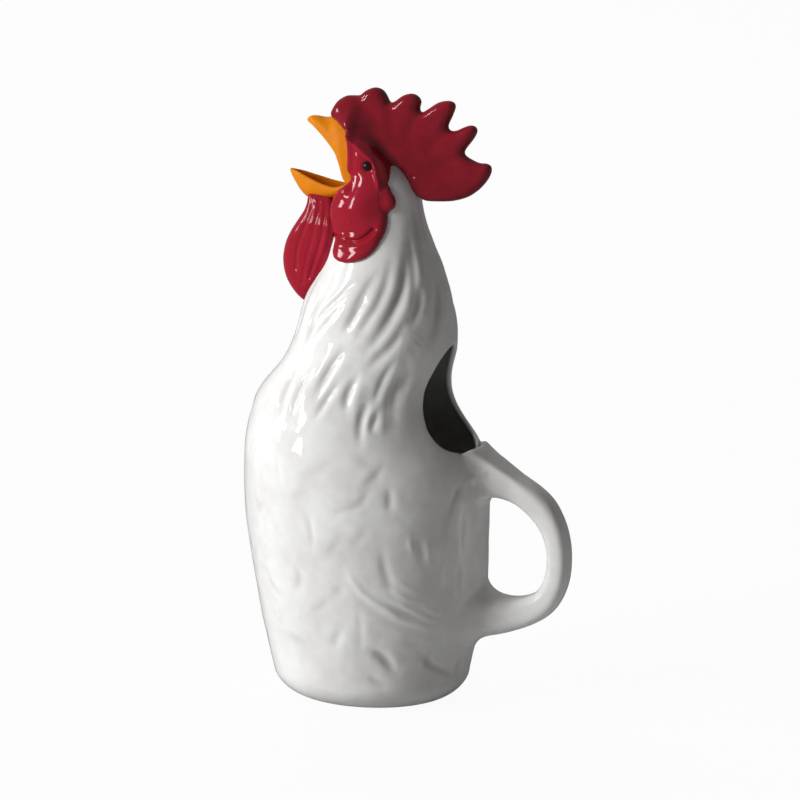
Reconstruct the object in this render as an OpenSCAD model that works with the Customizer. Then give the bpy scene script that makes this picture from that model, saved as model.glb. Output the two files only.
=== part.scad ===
// Rooster pitcher: a glazed earthenware jug in the shape of a crowing rooster.
// It is slip cast as separate clay pieces, which are luted to each other before firing.
// It is filled through the opening in its back and pours through its open beak.
// The rooster faces -X, its left side is -Y, and it stands on Z = 0.

/* [Body] */
// Height of the luted joint between the body and the neck
joint_height = 205; // [198:1:215]
// Depth of the belly, from breast to back
belly_depth = 131; // [118:1:142]
// Width of the belly, from side to side
belly_width = 116; // [100:1:130]
// Thickness of the cast wall
wall = 4.5; // [3.5:0.1:5.5]
// Thickness of the cast floor
floor_thickness = 6; // [5:0.5:9]
// Radius of the rounded edge at the foot
foot_round = 14; // [9:0.5:17]

/* [Filling opening] */
// Height of the oval opening
opening_length = 58; // [44:1:62]
// Width of the oval opening
opening_width = 43; // [30:1:50]
// Clay left between the opening and the joint above it
opening_margin = 16; // [12:1:20]
// Slope of the opening's axis above level
opening_slope = 6; // [0:1:12]

/* [Neck] */
// Height of the neck and head casting above its joint
neck_height = 101; // [94:1:110]
// Depth of the neck at its joint
neck_depth = 80.6; // [74:0.2:88]
// Width of the neck at its joint
neck_width = 74; // [66:1:82]
// Diameter of the throat that opens into the beak
throat_diameter = 12; // [7:0.5:13]
// Slope of the throat above level
throat_slope = 24; // [15:1:32]

/* [Handle] */
// Reach of the handle behind the middle of the foot
handle_reach = 109; // [100:1:120]
// Drop from the opening's lower rim to the middle of the handle's upper root
handle_drop = 8; // [5:0.5:14]
// Height of the middle of the handle's lower root
handle_bottom = 42; // [36:1:48]
// Thickness of the handle's grip, seen from the side
handle_thickness = 13.4; // [10:0.2:17]
// Width of the handle's grip, seen from behind
handle_width = 17; // [13:0.5:22]

/* [Face] */
// How far the red skin stands out from the head
face_relief = 2.4; // [1.2:0.1:3.5]
// Diameter of an eye
eye_diameter = 6; // [4.5:0.1:7.5]
// Length of an earlobe
earlobe_length = 9.5; // [7:0.5:12]

/* [Comb] */
// Length of the comb, from its front root to its rear tip
comb_length = 85; // [74:1:94]
// Thickness of the comb near its root
comb_thickness = 13; // [9:0.5:16]
// Thickness of the comb at its points
comb_edge_thickness = 7; // [5:0.5:9]

/* [Beak] */
// Length of the upper beak in front of the head
upper_beak_length = 26; // [20:0.5:30]
// Height of the upper beak at the head
upper_beak_height = 33; // [28:0.5:35]
// Length of the lower beak in front of the head
lower_beak_length = 36; // [30:0.5:40]
// Depth of the lower beak's trough
lower_beak_depth = 7; // [6:0.5:9]
// Width of both beaks at the head
beak_width = 21; // [17:0.5:24]
// Thickness of the beaks' walls
beak_wall = 2.4; // [1.8:0.1:3]

/* [Wattles] */
// Length of a wattle, from the beak to its lower tip
wattle_length = 54; // [44:1:60]
// Depth of a wattle, seen from the side
wattle_depth = 26.5; // [20:0.5:30]
// Thickness of a wattle
wattle_thickness = 9; // [6:0.5:11]
// Gap between the two wattles
wattle_gap = 2.4; // [1:0.2:4]

/* [Hidden] */

white = "whitesmoke";
red = "firebrick";
orange = "darkorange";

// Sides of the outer and inner castings, and steps between two rows of their tables
outer_sides = 36;
inner_sides = 24;
row_steps = 2;
round_steps = 5;
// Overrun of every cut past the surface that it opens
overrun = 2;

// Body: height as a share of the joint height, then the reach of the breast and of the back as
// shares of the belly's depth, and half the width as a share of the belly's width.
belly_shares = [
    [0.068, 0.407, 0.393, 0.398], [0.100, 0.420, 0.401, 0.408], [0.146, 0.435, 0.420, 0.424],
    [0.215, 0.461, 0.447, 0.448], [0.300, 0.484, 0.464, 0.470], [0.395, 0.508, 0.466, 0.488],
    [0.470, 0.522, 0.468, 0.498], [0.550, 0.530, 0.471, 0.500], [0.620, 0.529, 0.456, 0.494],
    [0.668, 0.526, 0.425, 0.482], [0.708, 0.514, 0.382, 0.464], [0.750, 0.493, 0.340, 0.440]];
// Shoulder: the same, as shares of the neck's depth and width at the joint
shoulder_shares = [
    [0.790, 0.758, 0.521, 0.640], [0.832, 0.672, 0.519, 0.597], [0.868, 0.594, 0.530, 0.563],
    [0.905, 0.543, 0.548, 0.538], [0.948, 0.500, 0.553, 0.520]];
joint_shares = [1, 0.463, 0.537, 0.500];
// Neck and head: height above the joint as a share of the neck's height, then the same shares
neck_shares = [
    [0.080, 0.432, 0.514, 0.468], [0.160, 0.376, 0.484, 0.432], [0.240, 0.325, 0.453, 0.392],
    [0.325, 0.283, 0.412, 0.351], [0.415, 0.266, 0.378, 0.311], [0.495, 0.260, 0.347, 0.277],
    [0.565, 0.230, 0.332, 0.257], [0.633, 0.180, 0.314, 0.243], [0.703, 0.140, 0.270, 0.236],
    [0.772, 0.126, 0.196, 0.220], [0.842, 0.126, 0.093, 0.188], [0.895, 0.140, 0.004, 0.145],
    [0.932, 0.152, -0.055, 0.100], [0.958, 0.156, -0.095, 0.055]];

// A row of a casting: [height, reach of the breast, reach of the back, half the width]
function row(share, height, depth, width, base = 0) =
    [base + share[0] * height, share[1] * depth, share[2] * depth, share[3] * width];
function inset(r, t) = [r[0], r[1] - t, r[2] - t, r[3] - t];
function raise(r, z) = [z, r[1], r[2], r[3]];

// A smooth curve through a list of rows or points, by Catmull and Rom's rule
function between(p0, p1, p2, p3, t) =
    ((2 * p1) + (p2 - p0) * t + (2 * p0 - 5 * p1 + 4 * p2 - p3) * t * t
        + (3 * p1 - p0 - 3 * p2 + p3) * t * t * t) / 2;
function smooth(rows, steps) = let(last = len(rows) - 1) concat(
    [for (i = [0 : last - 1], s = [0 : steps - 1])
        between(rows[max(i - 1, 0)], rows[i], rows[i + 1], rows[min(i + 2, last)], s / steps)],
    [rows[last]]);

// A closed skin over rings of equal length, with a flat fan over its first and last ring
function middle(ring) = [for (p = ring) 1] * ring / len(ring);
module skin(rings) {
    sides = len(rings[0]);
    last = len(rings) - 1;
    count = sides * (last + 1);
    points = concat([for (ring = rings) each ring], [middle(rings[0]), middle(rings[last])]);
    faces = concat(
        [for (k = [0 : last - 1], i = [0 : sides - 1])
            [k * sides + i, (k + 1) * sides + i, (k + 1) * sides + (i + 1) % sides]],
        [for (k = [0 : last - 1], i = [0 : sides - 1])
            [k * sides + i, (k + 1) * sides + (i + 1) % sides, k * sides + (i + 1) % sides]],
        [for (i = [0 : sides - 1]) [count, i, (i + 1) % sides]],
        [for (i = [0 : sides - 1]) [count + 1, last * sides + (i + 1) % sides, last * sides + i]]);
    polyhedron(points, faces);
}
// The level ring of a row: an oval that reaches from the breast to the back
function level_ring(r, sides) = [for (i = [0 : sides - 1])
    [(r[2] - r[1]) / 2 + (r[2] + r[1]) / 2 * cos(360 * i / sides), r[3] * sin(360 * i / sides), r[0]]];
module casting(rows, sides) {
    skin([for (r = rows) level_ring(r, sides)]);
}

belly_rows = [for (s = belly_shares) row(s, joint_height, belly_depth, belly_width)];
shoulder_rows = [for (s = shoulder_shares) row(s, joint_height, neck_depth, neck_width)];
joint_row = row(joint_shares, joint_height, neck_depth, neck_width);
neck_rows = [for (s = neck_shares) row(s, neck_height, neck_depth, neck_width, joint_height)];
body_rows = concat(belly_rows, shoulder_rows, [joint_row]);
head_rows = concat([joint_row], neck_rows);
foot_row = body_rows[0];

// Rows that turn in from a wall to a flat bottom, round an edge of the given radius
function turned_in(r, radius, bottom, t) = [for (i = [0 : round_steps - 1])
    let(turn = 90 * i / round_steps)
    raise(inset(r, t + radius * (1 - sin(turn))), bottom + radius * (1 - cos(turn)))];

// Body: outside, and the hollow inside it, which runs up past the joint
inner_round = foot_round - wall;
body_outside = concat(turned_in(foot_row, foot_round, 0, 0),
    [raise(foot_row, foot_round)], smooth([for (r = body_rows) if (r[0] > foot_round) r], row_steps));
hollow_rows = [for (r = body_rows) if (r[0] > floor_thickness + inner_round) inset(r, wall)];
body_inside = concat(turned_in(foot_row, inner_round, floor_thickness, wall),
    smooth(hollow_rows, row_steps), [inset(raise(joint_row, joint_height + overrun), wall)]);

opening_height = joint_height - opening_margin - opening_length / 2;
module opening_cutter() {
    sides = outer_sides;
    translate([0, 0, opening_height])
        rotate([0, 90 - opening_slope, 0])
            linear_extrude(belly_depth)
                polygon([for (i = [0 : sides - 1])
                    [opening_length / 2 * cos(360 * i / sides), opening_width / 2 * sin(360 * i / sides)]]);
}

module body_shell() {
    color(white) difference() {
        casting(body_outside, outer_sides);
        casting(body_inside, inner_sides);
        opening_cutter();
    }
}

// Neck and head: outside, hollow and throat
crown_row = head_rows[len(head_rows) - 1];
head_outside = smooth(head_rows, row_steps);
function half_depth(r) = (r[1] + r[2]) / 2;
throat_wall = wall + throat_diameter / 4;
head_inside = concat([inset(raise(joint_row, joint_height - overrun), wall)],
    smooth([for (r = head_rows) if (half_depth(r) > throat_wall) inset(r, wall)], row_steps));
// The row of the head at a given height
function head_at(z) = [for (a = [0 : 3]) lookup(z, [for (r = head_rows) [r[0], r[a]]])];

// Middle of the mouth, between the two beaks
mouth_share = 0.748;
mouth_height = joint_height + mouth_share * neck_height;
mouth = [-head_at(mouth_height)[1], 0, mouth_height];
module throat() {
    translate(mouth)
        rotate([0, -90 + throat_slope, 0])
            translate([0, 0, -2 * wall])
                cylinder(h = 3 * wall + overrun, d = throat_diameter, $fn = 32);
}

module neck_shell() {
    color(white) difference() {
        casting(head_outside, outer_sides);
        casting(head_inside, inner_sides);
        throat();
        for (side = [-1, 1]) eye_form(side);
    }
}

// Handle: for each section the reach and the height of its middle as shares of the handle's reach
// past the body and of the rise between its roots, then its half thickness and half width.
handle_top = opening_height - opening_length / 2 - handle_drop;
handle_start_share = 0.36;
handle_start = belly_depth * handle_start_share;
handle_shares = [
    [0.00, 0.97, 1.15, 1.55], [0.24, 1.00, 1.00, 0.95], [0.42, 0.98, 0.84, 0.68],
    [0.60, 0.92, 0.67, 0.55], [0.76, 0.84, 0.57, 0.51], [0.90, 0.73, 0.53, 0.50],
    [0.98, 0.61, 0.51, 0.50], [1.00, 0.48, 0.50, 0.50], [0.98, 0.36, 0.52, 0.50],
    [0.90, 0.24, 0.57, 0.51], [0.77, 0.155, 0.63, 0.53], [0.60, 0.10, 0.70, 0.56],
    [0.42, 0.07, 0.81, 0.64], [0.22, 0.035, 0.96, 0.82], [0.00, 0.00, 1.05, 1.20]];
handle_sides = 24;
handle_sections = smooth([for (s = handle_shares)
    [handle_start + s[0] * (handle_reach - handle_thickness / 2 - handle_start),
        handle_bottom + s[1] * (handle_top - handle_bottom),
        s[2] * handle_thickness, s[3] * handle_width]], row_steps);
// Direction across a path at one of its points, in the XZ plane
function across(path, i) = let(last = len(path) - 1, a = path[max(i - 1, 0)], b = path[min(i + 1, last)],
    d = [b[0] - a[0], b[1] - a[1]]) [-d[1], d[0]] / norm(d);
module handle() {
    color(white) difference() {
        skin([for (i = [0 : len(handle_sections) - 1])
            let(s = handle_sections[i], n = across(handle_sections, i))
            [for (k = [0 : handle_sides - 1]) let(turn = 360 * k / handle_sides)
                [s[0] + n[0] * s[2] * cos(turn), -s[3] * sin(turn), s[1] + n[1] * s[2] * cos(turn)]]]);
        casting(body_outside, outer_sides);
        opening_cutter();
    }
}

// Comb: its outline from the front root, as shares of its length
comb_shares = [
    [0.00, 0.00], [0.01, 0.05], [0.06, 0.10], [0.15, 0.125], [0.20, 0.12], [0.225, 0.165],
    [0.28, 0.182], [0.33, 0.15], [0.355, 0.10], [0.39, 0.09], [0.44, 0.135], [0.50, 0.148],
    [0.545, 0.115], [0.56, 0.06], [0.60, 0.045], [0.66, 0.085], [0.74, 0.108], [0.77, 0.08],
    [0.745, 0.00], [0.74, -0.055], [0.78, -0.065], [0.86, -0.03], [0.895, -0.05], [0.87, -0.13],
    [0.835, -0.175], [0.86, -0.215], [0.96, -0.235], [1.00, -0.255], [0.985, -0.32], [0.93, -0.40],
    [0.84, -0.445], [0.72, -0.472], [0.58, -0.475], [0.46, -0.41], [0.36, -0.30], [0.22, -0.16],
    [0.08, -0.05]];
// The front root from the front of the crown, the middle of the comb's taper, inside the head,
// from that root, and the reach of the points from that middle, all as shares of the length
comb_root_shares = [-0.115, 0.039];
comb_middle_shares = [0.25, -0.42];
comb_reach_share = 0.78;
comb_root = [-crown_row[1], crown_row[0]] + comb_length * comb_root_shares;
comb_middle = comb_root + comb_length * comb_middle_shares;
comb_reach = comb_length * comb_reach_share;
module comb_form() {
    intersection() {
        rotate([90, 0, 0])
            linear_extrude(comb_thickness, center = true)
                polygon(smooth([for (s = comb_shares) comb_root + comb_length * s], row_steps));
        translate([comb_middle[0], 0, comb_middle[1]])
            rotate([90, 0, 0])
                rotate_extrude($fn = 96)
                    polygon([[0, -comb_thickness / 2], [comb_reach / 3, -comb_thickness / 2],
                        [comb_reach, -comb_edge_thickness / 2], [comb_reach, comb_edge_thickness / 2],
                        [comb_reach / 3, comb_thickness / 2], [0, comb_thickness / 2]]);
    }
}
module comb() {
    color(red) difference() {
        comb_form();
        casting(head_outside, outer_sides);
    }
}

// Beaks: each section is an arch over a flat foot. A share row holds the middle of the arch, the
// middle of its foot, half the width of the foot and the wall.
beak_sides = 15;
function arch_ring(s) = let(
    top = [s[0], s[1]], foot = [s[2], s[3]], rise = top - foot, half = s[4], t = s[5],
    inner = rise * (1 - t / norm(rise)))
    concat(
        [for (k = [0 : beak_sides]) let(turn = 180 * k / beak_sides)
            [foot[0] + rise[0] * sin(turn), half * cos(turn), foot[1] + rise[1] * sin(turn)]],
        [for (k = [beak_sides : -1 : 0]) let(turn = 180 * k / beak_sides)
            [foot[0] + inner[0] * sin(turn), (half - t) * cos(turn), foot[1] + inner[1] * sin(turn)]]);
// Upper beak: shares of its length ahead of the head and of its height above the mouth's corner
upper_shares = [
    [0.02, 0.99, -0.45, -0.10, 0.620, 1.0], [0.32, 1.00, 0.02, 0.18, 0.540, 1.0],
    [0.52, 1.00, 0.20, 0.43, 0.430, 1.0], [0.70, 0.995, 0.42, 0.66, 0.310, 0.9],
    [0.86, 0.98, 0.67, 0.82, 0.190, 0.6], [1.00, 0.94, 0.95, 0.90, 0.060, 0.2]];
corner_share = 0.665;
corner_height = joint_height + neck_height * corner_share;
upper_sections = smooth([for (s = upper_shares)
    [mouth[0] - s[0] * upper_beak_length, corner_height + s[1] * upper_beak_height,
        mouth[0] - s[2] * upper_beak_length, corner_height + s[3] * upper_beak_height,
        s[4] * beak_width, s[5] * beak_wall]], row_steps);
module upper_beak_form() {
    skin([for (i = [len(upper_sections) - 1 : -1 : 0]) arch_ring(upper_sections[i])]);
}
// The inside of the mouth, between the upper beak and the floor of the lower one
module mouth_form() {
    skin([for (i = [len(upper_sections) - 1 : -1 : 0]) let(s = upper_sections[i])
        [for (k = [0 : beak_sides]) let(turn = 180 * k / beak_sides)
            [s[2] + (s[0] - s[2]) * sin(turn), s[4] * cos(turn),
                lower_height + (s[1] - lower_height) * sin(turn)]]]);
}
// Lower beak: shares of its length ahead of the head and of its depth above its lowest line
lower_shares = [
    [-0.20, 0.00, -0.20, 0.95, 0.57, 1.0], [0.25, -0.02, 0.18, 0.97, 0.54, 1.0],
    [0.48, -0.05, 0.43, 1.00, 0.46, 1.0], [0.67, 0.10, 0.62, 1.14, 0.36, 1.0],
    [0.82, 0.50, 0.78, 1.36, 0.25, 0.9], [0.93, 1.05, 0.91, 1.60, 0.14, 0.6],
    [1.00, 1.68, 0.99, 1.80, 0.05, 0.2]];
// Drop of the trough's lowest line below the mouth's corner, and the trough's wall, as shares
lower_drop_share = 1.2;
lower_wall_share = 0.8;
lower_height = corner_height - lower_beak_depth * lower_drop_share;
lower_sections = smooth([for (s = lower_shares)
    [mouth[0] - s[0] * lower_beak_length, lower_height + s[1] * lower_beak_depth,
        mouth[0] - s[2] * lower_beak_length, lower_height + s[3] * lower_beak_depth,
        s[4] * beak_width, s[5] * beak_wall * lower_wall_share]], row_steps);
module lower_beak_form() {
    skin([for (s = lower_sections) arch_ring(s)]);
}
module upper_beak() {
    color(orange) difference() {
        upper_beak_form();
        casting(head_outside, outer_sides);
        comb_form();
    }
}
module lower_beak() {
    color(orange) difference() {
        lower_beak_form();
        casting(head_outside, outer_sides);
    }
}

// Wattles: each level section's height below the beak as a share of the wattle's length, its
// middle and half depth as shares of its depth, and its half thickness as a share.
wattle_shares = [
    [0.00, 0.00, 0.20, 0.30], [0.11, 0.01, 0.24, 0.36], [0.28, 0.10, 0.38, 0.45],
    [0.46, 0.17, 0.49, 0.50], [0.61, 0.21, 0.49, 0.48], [0.78, 0.28, 0.35, 0.40],
    [0.90, 0.29, 0.18, 0.26], [1.00, 0.26, 0.03, 0.06]];
// Where it hangs: above the trough's lowest line, and along the lower beak
wattle_seat_share = 0.15;
wattle_root_share = 0.49;
wattle_top = lower_height + lower_beak_depth * wattle_seat_share;
wattle_root = mouth[0] - lower_beak_length * wattle_root_share;
wattle_sides = 24;
wattle_sections = smooth([for (s = wattle_shares)
    [wattle_top - s[0] * wattle_length, wattle_root - s[1] * wattle_depth,
        s[2] * wattle_depth, s[3] * wattle_thickness]], row_steps);
module wattle(side) {
    middle_y = side * (wattle_gap + wattle_thickness) / 2;
    color(red) difference() {
        skin([for (i = [len(wattle_sections) - 1 : -1 : 0]) let(s = wattle_sections[i])
            [for (k = [0 : wattle_sides - 1]) let(turn = 360 * k / wattle_sides)
                [s[1] + s[2] * cos(turn), middle_y + s[3] * sin(turn), s[0]]]]);
        casting(head_outside, outer_sides);
        face_form();
        lower_beak_form();
    }
}
module left_wattle() {
    wattle(-1);
}
module right_wattle() {
    wattle(1);
}

// Face: its outline from the joint, as shares of the neck's height
face_shares = [
    [-0.055, 0.915], [-0.01, 0.925], [0.05, 0.91], [0.10, 0.87], [0.15, 0.81], [0.155, 0.75],
    [0.13, 0.67], [0.125, 0.60], [0.14, 0.53], [0.13, 0.44], [0.09, 0.365], [0.02, 0.305],
    [-0.06, 0.265], [-0.13, 0.275], [-0.165, 0.32], [-0.16, 0.39], [-0.20, 0.41], [-0.35, 0.42],
    [-0.35, 0.60], [-0.18, 0.655], [-0.095, 0.69], [-0.105, 0.80], [-0.112, 0.86]];
face_outside = [for (r = head_outside) inset(r, -face_relief)];
module face_form() {
    intersection() {
        casting(concat(face_outside, [raise(inset(face_outside[len(face_outside) - 1], face_relief),
            crown_row[0] + face_relief)]), outer_sides);
        rotate([90, 0, 0])
            linear_extrude(neck_width, center = true)
                polygon(smooth([for (s = face_shares)
                    [s[0] * neck_height, joint_height + s[1] * neck_height]], row_steps));
    }
}
module face() {
    color(red) difference() {
        face_form();
        casting(head_outside, outer_sides);
        comb_form();
        upper_beak_form();
        lower_beak_form();
        mouth_form();
        for (side = [-1, 1]) eye_form(side);
    }
}

// How far the head stands out to the side at a reach and a height
function head_side(x, z) = let(r = head_at(z), turn = (x - (r[2] - r[1]) / 2) / half_depth(r))
    r[3] * sqrt(max(0, 1 - turn * turn));

// Eyes: their place from the middle of the foot and the joint, as shares of the neck's height
eye_shares = [0.03, 0.772];
eye_place = [eye_shares[0] * neck_height, joint_height + eye_shares[1] * neck_height];
module eye_form(side) {
    translate([eye_place[0], side * (head_side(eye_place[0], eye_place[1]) + face_relief - eye_diameter / 4),
        eye_place[1]])
        sphere(d = eye_diameter, $fn = 32);
}
module left_eye() {
    color("black") eye_form(-1);
}
module right_eye() {
    color("black") eye_form(1);
}

// Earlobes: drops behind the face, placed as the eyes are
earlobe_shares = [0.165, 0.60];
// Its lower and upper round: how far forward and up its middle lies, and its diameter, as shares
earlobe_round_shares = [[0, -0.14, 0.68], [0.12, 0.30, 0.40]];
earlobe_place = [earlobe_shares[0] * neck_height, joint_height + earlobe_shares[1] * neck_height];
module earlobe(side) {
    y = side * (head_side(earlobe_place[0], earlobe_place[1]) + face_relief / 2);
    color(red) difference() {
        hull() {
            for (s = earlobe_round_shares) {
                translate([earlobe_place[0] - s[0] * earlobe_length, y,
                        earlobe_place[1] + s[1] * earlobe_length])
                    sphere(d = s[2] * earlobe_length, $fn = 20);
            }
        }
        casting(head_outside, outer_sides);
        face_form();
    }
}
module left_earlobe() {
    earlobe(-1);
}
module right_earlobe() {
    earlobe(1);
}

body_shell();
neck_shell();
handle();
face();
comb();
upper_beak();
lower_beak();
left_wattle();
right_wattle();
left_earlobe();
right_earlobe();
left_eye();
right_eye();
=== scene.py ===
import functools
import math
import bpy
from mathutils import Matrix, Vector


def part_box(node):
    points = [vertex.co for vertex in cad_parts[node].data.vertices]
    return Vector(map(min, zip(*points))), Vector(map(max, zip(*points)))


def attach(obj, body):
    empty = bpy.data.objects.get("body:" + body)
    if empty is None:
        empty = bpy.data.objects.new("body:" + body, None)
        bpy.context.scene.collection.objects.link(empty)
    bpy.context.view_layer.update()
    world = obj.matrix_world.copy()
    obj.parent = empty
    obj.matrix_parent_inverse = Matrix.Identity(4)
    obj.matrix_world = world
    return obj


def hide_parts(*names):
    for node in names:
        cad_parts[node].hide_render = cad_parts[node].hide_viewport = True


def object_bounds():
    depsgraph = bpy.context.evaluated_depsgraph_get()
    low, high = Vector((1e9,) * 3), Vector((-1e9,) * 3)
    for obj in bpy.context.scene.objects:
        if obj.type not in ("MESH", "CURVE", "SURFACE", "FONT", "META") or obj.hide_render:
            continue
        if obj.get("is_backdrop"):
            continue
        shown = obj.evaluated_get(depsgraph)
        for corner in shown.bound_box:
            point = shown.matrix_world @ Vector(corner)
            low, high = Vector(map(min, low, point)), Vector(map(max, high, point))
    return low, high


bl_info = {
    "name": "Rooster pitcher",
    "version": (1, 0, 0),
    "blender": (4, 5, 0),
    "location": "3D View > Sidebar > Rooster pitcher",
    "description": "Models a glazed earthenware pitcher in the shape of a crowing rooster",
    "category": "Object",
}

import bpy
import numpy as np
from bpy.props import FloatProperty, PointerProperty
from bpy.types import Operator, Panel, PropertyGroup
from mathutils import Vector, noise
from mathutils.kdtree import KDTree

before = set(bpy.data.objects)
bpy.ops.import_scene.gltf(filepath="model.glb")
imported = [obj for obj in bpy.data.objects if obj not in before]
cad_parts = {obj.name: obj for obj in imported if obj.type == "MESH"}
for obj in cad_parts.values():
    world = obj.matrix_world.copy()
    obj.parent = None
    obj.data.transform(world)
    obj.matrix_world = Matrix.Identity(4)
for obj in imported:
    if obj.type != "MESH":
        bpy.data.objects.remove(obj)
cad_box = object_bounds()

MM = 0.001
BODY = "root"
JOINT_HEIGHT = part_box("body_shell")[1][2] / MM
CROWN_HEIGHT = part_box("neck_shell")[1][2] / MM

# The casting's outline in mm: height, reach of the breast, reach of the back, half the width
CASTING = (
    (0, 50.0, 48.3, 43.4), (7, 51.7, 49.9, 44.8), (13.9, 53.3, 51.5, 46.2), (20.5, 55, 52.5, 47.3),
    (29.9, 57, 55, 49.2), (44.1, 59.8, 58.6, 52), (61.5, 62.7, 60.8, 54.5), (81, 65.7, 61, 56.6),
    (96.4, 67.5, 61.3, 57.8), (112.8, 68.4, 61.7, 58), (127.1, 68.2, 59.7, 57.3), (136.9, 67.8, 55.7, 55.9),
    (145.1, 66.4, 50, 53.8), (153.8, 64, 44.5, 51), (162, 61.1, 42, 47.4), (170.6, 54.2, 41.8, 44.2),
    (177.9, 47.9, 42.7, 41.7), (185.5, 43.8, 44.2, 39.8), (194.3, 40.3, 44.6, 38.5), (205, 37.3, 43.3, 37),
    (213.1, 34.8, 41.4, 34.6), (221.2, 30.3, 39, 32), (229.2, 26.2, 36.5, 29), (237.8, 22.8, 33.2, 26),
    (246.9, 21.4, 30.5, 23), (255, 21, 28, 20.5), (262.1, 18.5, 26.8, 19), (268.9, 14.5, 25.3, 18),
    (276, 11.3, 21.8, 17.5), (283, 10.2, 15.8, 16.3), (290, 10.2, 7.5, 13.9), (295.4, 11.3, 0.3, 10.7),
    (299.1, 12.3, -4.4, 7.4), (301.8, 12.6, -7.7, 4.1),
)
WALL = 4.5
FLOOR = 6.0
FLOOR_ROUND = 9.5

# The foot's round edge: how high it rises and how far it turns in, and the underside that it stands
# on, as shares of its reach and heights in mm
FOOT_ROUND = 14.0
FOOT_REACH = 17.0
UNDERSIDE = (
    (0.06, 1.2), (0.3, 1.2), (0.55, 1.2), (0.74, 1.2), (0.78, 0.9), (0.82, 0.3), (0.86, 0), (0.93, 0), (1, 0),
)
# The foot is left unglazed up to this height in mm
CLAY_HEIGHT = 1.6

# Heights of the casting's rows of faces, with an even number of rows on the body
ROW_STEP = 1.12
HEAD_ROW_STEP = 0.75
HEAD_TOP = CROWN_HEIGHT - 0.6
BODY_ROWS = 2 * int(round((JOINT_HEIGHT - FOOT_ROUND) / ROW_STEP / 2))
HEAD_ROWS = int(round((HEAD_TOP - JOINT_HEIGHT) / HEAD_ROW_STEP))
BODY_HEIGHTS = np.linspace(FOOT_ROUND, JOINT_HEIGHT, BODY_ROWS + 1)
HEAD_HEIGHTS = np.linspace(JOINT_HEIGHT, HEAD_TOP, HEAD_ROWS + 1)

# The filling opening: its middle, the slope of its axis and its near edge in pixels of the photograph
OPENING_HEIGHT = 157.0
OPENING_SLOPE = math.radians(6)
OPENING_EDGE = (
    (451, 348), (442, 360), (434, 373), (427, 387), (424.3, 403), (425, 418), (429.5, 432), (437.5, 443),
    (448, 450), (460, 453.6), (470, 453.6), (477, 450.5),
)
# The wall and the round of the lip at the opening, in mm, and the window of faces that gives way to it,
# as heights and as half its columns
EDGE_WALL = 3.0
LIP = 1.5
WINDOW_LOW = 127.0
WINDOW_TOP = 199.0
WINDOW_HALF = 54

# The pouring throat in the beak: its height at the skin, its radius and its slope down into the cavity
THROAT_HEIGHT = 280.5
THROAT_RADIUS = 5.6
THROAT_SLOPE = math.radians(24)
# The round of its lip in mm, and half the rows and columns of faces that give way to it
THROAT_LIP = 1.2
THROAT_ROWS = 11
THROAT_HALF = 34
# The top of the neck's cavity in mm, and its rows of faces
CAVITY_TOP = 268.0
CAVITY_ROWS = 34
# The head is orange inside the open beak, between two heights and this far to each side
MOUTH_LOW = 267
MOUTH_TOP = 302
MOUTH_HALF = 9.6

# The photograph's camera: its turn and rise, its distance, and where it looks
CAMERA_TURN = math.radians(20)
CAMERA_RISE = math.radians(12)
CAMERA_DISTANCE = 2000.0
PIXEL = 0.52
SIDE = 800
AIM_HEIGHT = 157.0
AIM_PIXEL = (373, 401)

# Depth in metres of the deepest cut that the heights below are read for
FEATHER_DEPTH = 0.002
# How far the casting's skin wanders, and the depth at which a cut gets its full painted shade, in mm
UNEVENNESS = 0.42
CUT_SHADE_DEPTH = 1.6
# Heights of the middles of the handle's roots, and the oval round them that stays smooth
ROOT_HEIGHTS = (122, 46)
ROOT_HALF = 24
ROOT_TALL = 22
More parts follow.
